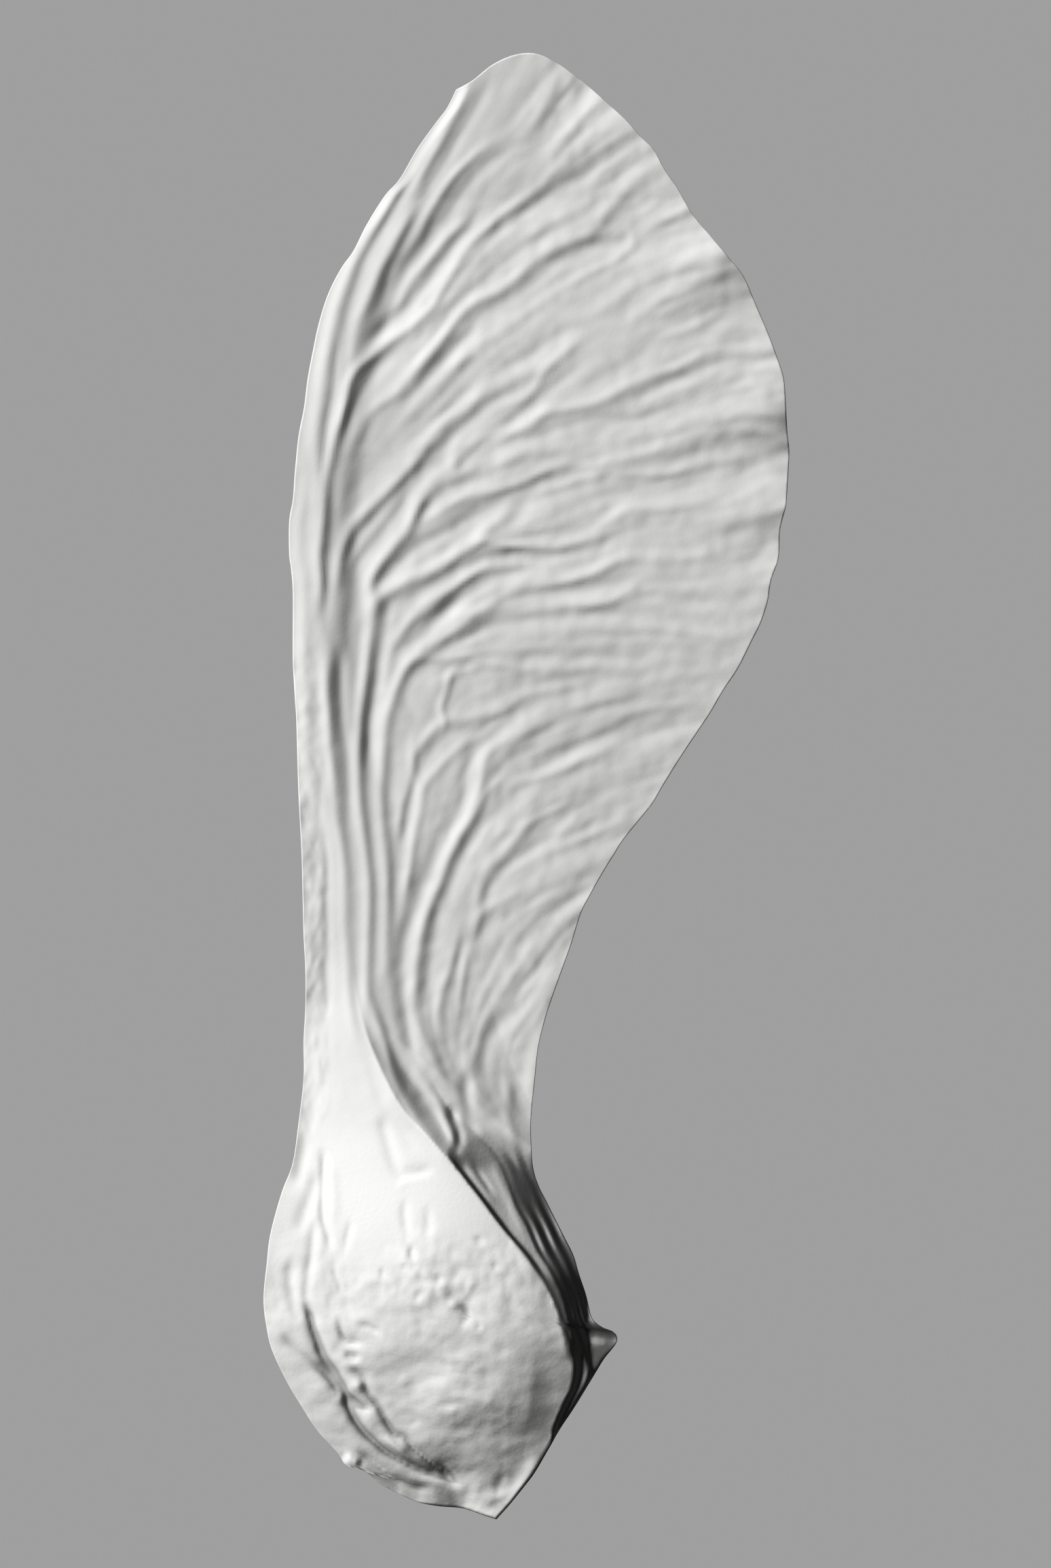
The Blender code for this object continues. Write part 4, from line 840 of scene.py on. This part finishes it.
def wing_level(plan):
    """Level of the wing as it leaves the nutlet, comes down to the floor and leans to one side."""
    share = np.clip((plan.y - NECK_Y) / (LANDING_Y - NECK_Y), 0, 1)
    drop = blend(share ** WING_FALL, ease(share), WING_FALL_EASE)
    lean = WING_LEAN * (0.5 - plan.u) * zone(plan.y, *LEAN_STARTS) * zone(plan.y, *LEAN_ENDS)
    return FLANGE_HEIGHT * (1 - drop) + lean


def strip_height(plan):
    """Height of the thick strip along the leading edge."""
    narrowed = zone(plan.y, *STRIP_NARROWS)
    strip_end = blend(STRIP_END_AT_NECK, STRIP_END, narrowed)
    flank = blend(STRIP_FLANK_AT_NECK, STRIP_FLANK, narrowed)
    upper = zone(plan.y, *UPPER_EDGE_STARTS)
    at_edge = STRIP_EDGE + STRIP_EDGE_UPPER * upper * zone(plan.y, *UPPER_EDGE_ENDS)
    at_edge = at_edge - STRIP_EDGE_AT_NECK * plan.near_neck
    foot = blend(STRIP_FOOT, STRIP_FOOT_AT_NECK, plan.near_neck)
    rise = STRIP_RISE * blend(at_edge, 1, ease(plan.lead_gap / foot))
    spread_out = np.maximum(zone(plan.y, *STRIP_SPREADS_AT_TIP), STRIP_SPREAD_AT_NECK * plan.near_neck)
    fall = blend(ease((strip_end - plan.lead_gap) / flank), 1, spread_out)
    return rise * fall * zone(plan.y, *STRIP_STARTS)


def base_droop(plan):
    """How far the flange hangs down at the base."""
    below = BASE_DROOP_Y - plan.y
    droop = BASE_DROOP * 0.5 * (below + np.sqrt(below ** 2 + BASE_DROOP_ROUNDING))
    return droop * zone(plan.x, *DROOP_RIGHT) * zone(plan.x, *DROOP_LEFT)


def swells(plan):
    """Gentle ups and downs of the trailing lobe."""
    total = np.zeros(plan.x.shape)
    for height, across, along, (cx, cy) in SWELLS:
        lean = plan.y - cy - SWELL_LEAN * (plan.x - cx)
        total += height * np.exp(-((plan.x - cx) / across) ** 2 - (lean / along) ** 2)
    return total


def nutlet_shell(plan):
    """Rise of the nutlet's shell over its flange, with the shoulder that runs up the wing."""
    towards_wing = ease((plan.y - SUMMIT[1]) / SHELL_REACH_BASE + 0.5)
    aside = (plan.x - SUMMIT[0]) / SHELL_REACH_ACROSS
    along = (plan.y - SUMMIT[1]) / blend(SHELL_REACH_BASE, SHELL_REACH_WING, towards_wing)
    radius = np.clip(np.hypot(aside, along), 1e-6, 1)
    towards_base = np.clip(0.5 - 0.5 * along / radius + SHELL_LEAN * aside / radius, 0, 1)
    bend = blend(*SHELL_BEND, towards_base)
    dome = NUTLET_RISE * (1 - radius ** bend) ** blend(*SHELL_FULLNESS, towards_base)
    span = np.maximum(across_at(CREST, plan.y) - across_at(LEADING_EDGE, plan.y), LEAST_SPAN)
    fade = zone(plan.y, *SHOULDER_ENDS) * zone(plan.y, *SHOULDER_STARTS)
    shoulder = SHOULDER_RISE * np.clip(plan.lead_gap / span, 0, 1) * fade
    return (dome ** SHOULDER_JOIN + shoulder ** SHOULDER_JOIN) ** (1 / SHOULDER_JOIN)


def side_face(plan, shell_top):
    """Height past the crest: a step, a folded band and a steep, folded face down to its foot."""
    y, gap = plan.y, plan.crest_gap
    foot = np.maximum(across_at(FACE_FOOT, y) - across_at(CREST, y), LEAST_FACE)
    band_end = np.minimum(across_at(BAND_END, y), foot - LEAST_FALL)
    low = zone(y, *LOW_FACE)
    step = STEP_DROP * (1 - STEP_FADE * low * zone(y, *STEP_FADES))
    under_step_top = ease((STEP_TOP - y + STEP_TOP_SLOPE * gap) / (STEP_TOP_WIDTH + gap))
    brink = shell_top - step * ease(gap / STEP_WIDTH) * under_step_top
    brink = brink - blend(*BAND_SLOPES, low) * np.clip(gap, 0, band_end)
    fall = np.clip((gap - band_end) / (foot - band_end), 0, 1)
    turns = 2 * np.pi * np.interp(y, FOLD_PLACES, FOLD_COUNTS)
    fold = np.interp(y, FOLD_PLACES, FOLD_SHARES) + plan.uneven(*FOLD_UNEVENNESS)
    fall = fall + fold / turns * np.sin(turns * fall)
    return blend(brink, across_at(SIDE_TOP, y), fall) - LEDGE_SLOPE * np.maximum(gap - foot, 0)


def large_form(plan, thickness, droop):
    """Height of the upper face without its fine form."""
    wing_top = wing_level(plan) + thickness + swells(plan)
    plain_top = blend(wing_top, FLANGE_HEIGHT + FLANGE_THICKNESS - droop, plan.on_nutlet)
    corner = zone(plan.x, *CORNER_LEFT) * zone(plan.y, *CORNER_TOP) * zone(plan.y, *CORNER_FOOT)
    shell_top = plain_top + nutlet_shell(plan) - CORNER_DROP * corner
    fall = np.clip(plan.crest_gap / SHOULDER_SLOPE_WIDTH, 0, 1)
    gentle = blend(shell_top, plain_top, blend(fall, ease(fall), 0.5))
    on_face = ease(FACE_TOP - plan.y - FACE_TOP_SLOPE * plan.x)
    past_crest = blend(gentle, side_face(plan, shell_top), on_face)
    return np.where(plan.crest_gap > 0, past_crest, shell_top)


def wing_ripples(plan, flow, sizes):
    """Fine ripples along the veins, and the finest bumps between them."""
    ripples = sum(share * flow.streaks(plan.x, plan.y, *streak) for share, *streak in RIPPLES)
    level = RIPPLE_LEVEL + plan.uneven(*RIPPLE_UNEVENNESS)
    ripples *= sizes.ripple / MM * blend(RIPPLES_ON_STRIP, 1, plan.off_strip) * level
    ripples *= 1 - RIPPLES_LOST_BELOW * zone(plan.y, *LOWER_WING)
    ripples += sizes.bumps / MM * plan.uneven(*WING_BUMPS) * blend(BUMPS_ON_STRIP, 1, plan.off_strip)
    return ripples * (1 - plan.on_nutlet)


def shell_wrinkles(plan, sizes):
    """Wrinkles of the nutlet's shell, which grow long towards its base."""
    x, y = plan.x, plan.y
    smooth = zone(x, *SMOOTH_RIGHT) * zone(y, *SMOOTH_FOOT) * zone(x, *SMOOTH_LEFT)
    on_shell = zone(y, *WRINKLED_SHELL) * (plan.crest_gap < 0) * (1 - SMOOTH_SHARE * smooth)
    squeezed = LONG_ACROSS[0] * x + LONG_ACROSS[1] * y
    slanted = LONG_ALONG[1] * y - LONG_ALONG[0] * x
    long_ones = LONG_HEIGHT * wrinkle_noise(squeezed, slanted, LONG_SEED)
    long_share = LONG_SHARE * zone(y, *LONG_WRINKLES)
    wrinkles = blend(wrinkle_noise(x, y, ROUND_SEED), long_ones, long_share)
    wrinkles *= sizes.wrinkle / MM * on_shell * (1 + plan.uneven(*WRINKLE_UNEVENNESS))
    calm_side = 1 - CALM_SIDE_SHARE * zone(x, *CALM_SIDE)
    calm_base = 1 - CALM_BASE_SHARE * zone(x, *CALM_BASE_LEFT) * zone(y, *CALM_BASE_TOP)
    return wrinkles * (calm_side * calm_base)


def margin_pebbles(plan, sizes):
    """The pebbled grain of the leading margin."""
    on_margin = PEBBLE_HEIGHT * zone(plan.lead_gap, *PEBBLES_ACROSS)
    on_margin = on_margin * zone(plan.y, *PEBBLES_TOP) * zone(plan.y, *PEBBLES_FOOT)
    pebbles = wrinkle_noise(plan.x, PEBBLE_STRETCH * plan.y, PEBBLE_SEED, WRINKLES[:2])
    return pebbles * (sizes.wrinkle / MM * on_margin)


def fine_form(plan, sizes):
    """Heights of the wing's lines alone, and of all the fine form."""
    flow = VeinFlow()
    x = plan.x + plan.uneven(*BEND_ACROSS)
    y = plan.y + plan.uneven(*BEND_ALONG)
    lines = line_relief(x, y, VEINS, flow) - line_relief(x, y, FURROWS, flow)
    lines *= sizes.vein_gain * (1 + plan.uneven(*LINE_UNEVENNESS))
    folds = line_relief(x, y, NUTLET_LINES) + line_relief(plan.x, plan.y, FACE_LINES)
    creases = line_relief(x, y, CREASES, power=CREASE_POWER)
    fine = lines + wing_ripples(plan, flow, sizes) + shell_wrinkles(plan, sizes) + folds + creases
    return lines, fine + margin_pebbles(plan, sizes)


def belly(plan, droop):
    """Height of the nutlet's swollen underside."""
    radius = np.hypot((plan.x - BELLY_CENTRE[0]) / BELLY_REACH[0],
                      (plan.y - BELLY_CENTRE[1]) / BELLY_REACH[1])
    depth = BELLY_DEPTH * np.clip(1 - radius ** 2, 0, 1) ** BELLY_FULLNESS
    room = np.maximum(across_at(TRAILING_EDGE, plan.y) - across_at(CREST, plan.y), LEAST_SPAN)
    past_crest = ease(plan.crest_gap / room)
    return blend(FLANGE_HEIGHT - droop - depth, across_at(SIDE_FOOT, plan.y), past_crest)


def rounding(plan, radius):
    """How far the faces draw in at the rim, as a quarter circle of the given radius."""
    drawn_in = np.zeros(plan.x.shape)
    near = plan.near_rim
    distance, _ = distance_to_path(plan.x[near], plan.y[near], outline_path())
    t = 1 - np.clip(distance / radius[near], 0, 1)
    drawn_in[near] = radius[near] * (1 - np.sqrt(1 - t ** 2))
    return drawn_in


def form(plan, sizes):
    """Heights of the upper face and the underside over the plan, and the fine form's height."""
    strip = strip_height(plan)
    thickness = blend(CAD_WING, sizes.membrane / MM, zone(plan.y, *WING_THINS)) + strip
    droop = base_droop(plan)
    large_top = large_form(plan, thickness, droop)
    lines, fine = fine_form(plan, sizes)
    at_base = zone(plan.x, *BASE_RIM_LEFT) * zone(plan.y, *BASE_RIM_TOP)
    top = large_top + fine - rounding(plan, blend(*TOP_RIM, at_base))
    wing_under = large_top - thickness - UNDER_STRIP * strip + UNDER_LINES * lines
    under = blend(wing_under, belly(plan, droop), plan.on_nutlet)
    under = under + UNDER_RIM_SHARE * rounding(plan, blend(*UNDER_RIM, plan.on_nutlet))
    return top, np.maximum(np.minimum(under, top - LEAST_THICKNESS), 0), fine


class SamaraShape(bpy.types.PropertyGroup):
    """Sizes of the samara's mesh and of its fine form."""

    columns: IntProperty(
        name="Columns", description="Grid cells across the samara", default=150, min=60)
    rows: IntProperty(
        name="Rows", description="Grid cells along the samara", default=440, min=160)
    membrane: FloatProperty(
        name="Membrane", description="Thickness of the wing's membrane",
        default=0.33 * MM, min=0.1 * MM, max=0.7 * MM, unit="LENGTH", precision=5)
    vein_gain: FloatProperty(
        name="Vein relief", description="Share of the full height of veins and furrows",
        default=0.95, min=0.0, max=2.0, subtype="FACTOR")
    ripple: FloatProperty(
        name="Ripple", description="Height of the fine ripples between the veins",
        default=0.016 * MM, min=0.0, unit="LENGTH", precision=6)
    bumps: FloatProperty(
        name="Bumps", description="Height of the finest bumps of the wing",
        default=0.004 * MM, min=0.0, unit="LENGTH", precision=6)
    wrinkle: FloatProperty(
        name="Wrinkle", description="Height of the wrinkles on the nutlet's shell",
        default=0.03 * MM, min=0.0, unit="LENGTH", precision=6)
    under_share: FloatProperty(
        name="Underside faces", description="Share of the underside's faces that is kept",
        default=0.35, min=0.05, max=1.0, subtype="FACTOR")


class SamaraSkin(bpy.types.PropertyGroup):
    """Colours and finish of the dry skin."""

    colour: FloatVectorProperty(
        name="Skin", description="Colour of the dry skin", subtype="COLOR", size=4,
        default=(0.88, 0.88, 0.87, 1.0), min=0.0, max=1.0)
    # The darker colour: the skin's own darker tone all over and in blotches, and painted shade in
    # creases, furrows and on the lower lobe
    dark_tone_and_shade_colour: FloatVectorProperty(
        name="Hollows", description="Colour in furrows and creases", subtype="COLOR", size=4,
        default=(0.42, 0.42, 0.41, 1.0), min=0.0, max=1.0)
    roughness: FloatProperty(
        name="Roughness", description="Roughness of the skin", default=0.7,
        min=0.0, max=1.0, subtype="FACTOR")
    grain: FloatProperty(
        name="Grain", description="Depth of the finest grain", default=0.004 * MM,
        min=0.0, unit="LENGTH", precision=6)


class SamaraStudio(bpy.types.PropertyGroup):
    """The floor, the light and the camera."""

    floor_colour: FloatVectorProperty(
        name="Floor", description="Colour of the floor", subtype="COLOR", size=4,
        default=(0.49, 0.49, 0.49, 1.0), min=0.0, max=1.0)
    low_light: FloatProperty(
        name="Low light", description="Strength of the low raking light", default=3.9, min=0.0)
    high_light: FloatProperty(
        name="High light", description="Strength of the higher light", default=1.0, min=0.0)
    room_light: FloatProperty(
        name="Room light", description="Strength of the even light of the room",
        default=0.005, min=0.0)
    distance: FloatProperty(
        name="Camera height", description="Height of the camera above the floor",
        default=0.8, min=0.2, unit="LENGTH")


def deselect_all():
    """Leaves no object selected, so that an operator acts on new pieces only."""
    for obj in list(bpy.context.selected_objects):
        obj.select_set(False)


def set_places(mesh, places):
    """Lays the mesh's corners on the given places, in metres."""
    mesh.vertices.foreach_set("co", places.reshape(-1))
    mesh.update()


def keep_values(mesh, name, values):
    """Stores one value for each corner, for the material to read."""
    mesh.attributes.new(name, "FLOAT", "POINT").data.foreach_set("value", values)


class SAMARA_OT_body(bpy.types.Operator):
    """Build the whole samara as one closed piece in place of its plain solid"""

    bl_idname = "samara.body"
    bl_label = "Samara"

    def execute(self, context):
        sizes = context.scene.samara_shape
        obj = self.sheet(sizes)
        self.shape_and_close(obj, sizes)
        self.thin_underside(obj, sizes)
        bpy.ops.object.shade_smooth()
        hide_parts("samara")
        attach(obj, "root")
        return {"FINISHED"}

    def sheet(self, sizes):
        """A flat grid with a corner for each place of the plan, row by row."""
        deselect_all()
        bpy.ops.mesh.primitive_grid_add(
            x_subdivisions=sizes.columns, y_subdivisions=sizes.rows, size=1.0)
        obj = bpy.context.object
        obj.name = obj.data.name = "samara_skin"
        if len(obj.data.vertices) != (sizes.columns + 1) * (sizes.rows + 1):
            raise RuntimeError("the grid hasn't the corners that its columns and rows give")
        return obj

    def shape_and_close(self, obj, sizes):
        """Extrudes the sheet into a closed body and lays both faces on their heights."""
        bpy.ops.object.mode_set(mode="EDIT")
        bpy.ops.mesh.select_all(action="SELECT")
        bpy.ops.mesh.extrude_region_move(TRANSFORM_OT_translate={"value": (0, 0, -MM)})
        bpy.ops.object.mode_set(mode="OBJECT")
        u, v = np.meshgrid(crowded(sizes.columns), crowded(sizes.rows))
        plan = Plan(u, v)
        top, under, fine = form(plan, sizes)
        faces = [np.stack([plan.x, plan.y, height], axis=-1).reshape(-1, 3) for height in (top, under)]
        set_places(obj.data, np.vstack(faces) * MM)
        # Painted shade: the deeper a crease or furrow dips below the large form, the more of the darker
        # colour it gets
        painted_crease_shade = zone(fine, -CREASE_SHADE_START, -CREASE_SHADE_DEPTH)
        shell = zone(plan.y, *GRAINED_SHELL)
        keep_values(obj.data, "painted_crease_shade", np.tile(painted_crease_shade.reshape(-1), 2))
        keep_values(obj.data, "shell", np.tile(shell.reshape(-1), 2))
        group = obj.vertex_groups.new(name="underside")
        inner = ~(np.min([u, 1 - u, v, 1 - v], axis=0) < 0.5 / sizes.rows)
        group.add((np.flatnonzero(inner) + inner.size).tolist(), 1.0, "REPLACE")
        bpy.ops.object.mode_set(mode="EDIT")
        bpy.ops.mesh.select_all(action="SELECT")
        bpy.ops.mesh.normals_make_consistent(inside=False)
        bpy.ops.object.mode_set(mode="OBJECT")

    def thin_underside(self, obj, sizes):
        """Merges the small faces of the underside, which needs fewer of them."""
        thin = obj.modifiers.new("thin", "DECIMATE")
        thin.vertex_group = "underside"
        thin.ratio = (1 + sizes.under_share) / 2
        bpy.ops.object.modifier_apply(modifier="thin")


class Wire:
    """A value in a material that takes part in sums as a number does."""

    def __init__(self, shading, socket):
        self.shading = shading
        self.socket = socket

    def _sum(self, operation, first, second):
        """The result of a sum as a new wire."""
        return self.shading.node("ShaderNodeMath", {"operation": operation}, {0: first, 1: second})

    def __add__(self, other):
        return self._sum("ADD", self, other)

    def __radd__(self, other):
        return self._sum("ADD", other, self)

    def __sub__(self, other):
        return self._sum("SUBTRACT", self, other)

    def __mul__(self, other):
        return self._sum("MULTIPLY", self, other)

    def __rmul__(self, other):
        return self._sum("MULTIPLY", other, self)


class Shading:
    """The nodes of one material."""

    def __init__(self, name):
        self.material = bpy.data.materials.new(name)
        self.material.use_nodes = True
        self.nodes = self.material.node_tree.nodes
        self.links = self.material.node_tree.links
        self.surface = self.nodes["Principled BSDF"]

    def node(self, kind, settings=None, values=None, out=0):
        """Adds a node with its settings, then the values or wires of its sockets."""
        made = self.nodes.new(kind)
        for setting, value in (settings or {}).items():
            setattr(made, setting, value)
        for socket, value in (values or {}).items():
            self.feed(made.inputs[socket], value)
        return Wire(self, made.outputs[out])

    def feed(self, socket, value):
        """Gives a socket its value or its wire."""
        if isinstance(value, Wire):
            self.links.new(value.socket, socket)
        else:
            socket.default_value = value

    def finish(self, name, value):
        """Gives one of the surface's sockets its value or its wire."""
        self.feed(self.surface.inputs[name], value)

    def kept(self, name):
        """The values that the mesh keeps under a name."""
        return self.node("ShaderNodeAttribute", {"attribute_name": name}, out="Fac")

    def mixed(self, share, first, second):
        """A colour between two colours."""
        return self.node("ShaderNodeMix", {"data_type": "RGBA"}, {0: share, 6: first, 7: second}, 2)

    def patch(self, place, centre, core, reach):
        """A round patch that is 1 in its core and 0 past its reach, all in millimetres."""
        distance = self.node("ShaderNodeVectorMath", {"operation": "DISTANCE"},
                             {0: place, 1: [value * MM for value in centre]}, "Value")
        return self.node("ShaderNodeMapRange", {"interpolation_type": "SMOOTHSTEP"}, {
            "Value": distance, "From Min": core * MM, "From Max": reach * MM,
            "To Min": 1.0, "To Max": 0.0})

    def spots(self, place, scale):
        """Noise from 0 to 1, with the given number of spots to the millimetre."""
        return self.node("ShaderNodeTexNoise", values={
            "Vector": place, "Scale": scale / MM, "Detail": 3.0, "Roughness": 0.55})


class SAMARA_OT_skin(bpy.types.Operator):
    """Give the samara its dry, finely grained skin, with painted shade in its creases and on the lower
    lobe and a painted highlight on its shoulder
    """

    bl_idname = "samara.skin"
    bl_label = "Skin"

    def execute(self, context):
        obj = bpy.data.objects.get("samara_skin")
        if obj is None:
            raise RuntimeError("the samara has to be built before it gets its skin")
        looks = context.scene.samara_skin
        shading = Shading("dry_samara_skin")
        place = shading.node("ShaderNodeTexCoord", out="Object")
        # The painted shade of creases and furrows, as the mesh keeps it
        painted_crease_shade = shading.kept("painted_crease_shade")
        shell = shading.kept("shell")
        blotches = shading.spots(place, BLOTCH_SPOTS)
        grain = shading.spots(place, GRAIN_SPOTS)
        # Painted highlight: the shoulder, which faces the light, is made paler
        shoulder = shading.patch(place, *SHOULDER_HIGHLIGHT_PATCH)
        # Painted shade: the middle of the wing's lower lobe is made darker
        lobe = shading.patch(place, *LOBE_SHADE_PATCH)
        # How far the skin goes to the darker colour: its own tone all over and in blotches, painted
        # shade in creases, furrows and on the lower lobe, and less of it on the shoulder as a painted
        # highlight
        tone_and_painted_light = painted_crease_shade + blotches * BLOTCH_DULLNESS + SKIN_DULLNESS
        tone_and_painted_light = tone_and_painted_light - SHOULDER_PAINTED_HIGHLIGHT * shoulder + LOBE_PAINTED_SHADE * lobe
        roughness = looks.roughness + ROUGHNESS_SPREAD * (grain - 0.5) + SHELL_ROUGHNESS * shell
        bump = shading.node("ShaderNodeBump", values={
            "Strength": 1.0, "Distance": looks.grain,
            "Height": grain * (GRAIN_ON_WING + MORE_GRAIN_ON_SHELL * shell)})
        shading.finish("Base Color", shading.mixed(tone_and_painted_light, looks.colour, looks.dark_tone_and_shade_colour))
        shading.finish("Roughness", roughness)
        shading.finish("Specular IOR Level", SHEEN)
        shading.finish("Normal", bump)
        obj.data.materials.clear()
        obj.data.materials.append(shading.material)
        obj.visible_diffuse = False
        return {"FINISHED"}


class SAMARA_OT_studio(bpy.types.Operator):
    """Set the floor, the light and the camera that looks straight down"""

    bl_idname = "samara.studio"
    bl_label = "Studio"

    def execute(self, context):
        studio = context.scene.samara_studio
        deselect_all()
        self.floor(studio)
        self.sun("low_light", studio.low_light, LOW_ANGLE)
        self.sun("high_light", studio.high_light, HIGH_ANGLE)
        self.room(context.scene, studio)
        self.camera(context.scene, studio)
        return {"FINISHED"}

    def floor(self, studio):
        """A plain sheet of grey paper under the samara."""
        bpy.ops.mesh.primitive_plane_add(size=FLOOR_SIZE, location=(0, 0, FLOOR_LEVEL))
        floor = bpy.context.object
        floor.name = floor.data.name = "floor"
        bpy.ops.object.transform_apply(location=True, rotation=True, scale=True)
        shading = Shading("floor_paper")
        shading.finish("Base Color", studio.floor_colour)
        shading.finish("Roughness", 0.9)
        shading.finish("Specular IOR Level", 0.0)
        floor.data.materials.append(shading.material)
        floor.visible_diffuse = False

    def sun(self, name, strength, elevation):
        """A soft light from the upper left, at an elevation in degrees."""
        turn = (math.pi / 2 - math.radians(elevation), 0, math.radians(LIGHT_AZIMUTH) + math.pi / 2)
        bpy.ops.object.light_add(type="SUN", location=(0, 0, LAMP_HEIGHT), rotation=turn)
        lamp = bpy.context.object
        lamp.name = lamp.data.name = name
        lamp.data.energy = strength
        lamp.data.angle = math.radians(LIGHT_SPREAD)
        lamp.data.use_shadow = False

    def room(self, scene, studio):
        """A faint even light, and the grey that the camera sees past the floor."""
        world = bpy.data.worlds.new("room")
        scene.world = world
        world.use_nodes = True
        nodes, links = world.node_tree.nodes, world.node_tree.links
        light = nodes["Background"]
        seen = nodes.new("ShaderNodeBackground")
        for background, strength in ((light, studio.room_light), (seen, BACKDROP)):
            background.inputs["Color"].default_value = (1, 1, 1, 1)
            background.inputs["Strength"].default_value = strength
        path = nodes.new("ShaderNodeLightPath")
        choice = nodes.new("ShaderNodeMixShader")
        links.new(path.outputs["Is Camera Ray"], choice.inputs[0])
        links.new(light.outputs[0], choice.inputs[1])
        links.new(seen.outputs[0], choice.inputs[2])
        links.new(choice.outputs[0], nodes["World Output"].inputs[0])
        scene.view_settings.view_transform = "Standard"

    def camera(self, scene, studio):
        """The camera that looks straight down and takes in the view's length."""
        place = (VIEW_CENTRE[0] * MM, VIEW_CENTRE[1] * MM, studio.distance)
        bpy.ops.object.camera_add(location=place, rotation=(0, 0, 0))
        camera = bpy.context.object
        camera.name = camera.data.name = "camera"
        distance = studio.distance / MM - VIEW_LEVEL
        camera.data.lens = camera.data.sensor_width * distance / VIEW_LENGTH
        camera.data.clip_start = CLIP_START
        camera.data.clip_end = CLIP_END
        scene.camera = camera


class SAMARA_PT_panel(bpy.types.Panel):
    """Lists the samara's pieces and their sizes"""

    bl_idname = "SAMARA_PT_panel"
    bl_label = "Maple samara"
    bl_space_type = "VIEW_3D"
    bl_region_type = "UI"
    bl_category = "Samara"

    def draw(self, context):
        for operator, group in STEPS:
            box = self.layout.box()
            box.operator(operator)
            sizes = getattr(context.scene, group)
            for name in sizes.__annotations__:
                box.prop(sizes, name)


STEPS = (
    ("samara.body", "samara_shape"),
    ("samara.skin", "samara_skin"),
    ("samara.studio", "samara_studio"),
)
CLASSES = (
    SamaraShape, SamaraSkin, SamaraStudio,
    SAMARA_OT_body, SAMARA_OT_skin, SAMARA_OT_studio, SAMARA_PT_panel,
)


def register():
    """Makes the samara's sizes, its steps and its panel known to Blender."""
    for cls in CLASSES:
        bpy.utils.register_class(cls)
    bpy.types.Scene.samara_shape = PointerProperty(type=SamaraShape)
    bpy.types.Scene.samara_skin = PointerProperty(type=SamaraSkin)
    bpy.types.Scene.samara_studio = PointerProperty(type=SamaraStudio)


def unregister():
    """Takes them away again, in the opposite order."""
    for _, group in STEPS:
        delattr(bpy.types.Scene, group)
    for cls in reversed(CLASSES):
        bpy.utils.unregister_class(cls)


def main():
    """Builds the samara and its studio."""
    register()
    bpy.ops.samara.body()
    bpy.ops.samara.skin()
    bpy.ops.samara.studio()


if __name__ == "__main__":
    main()
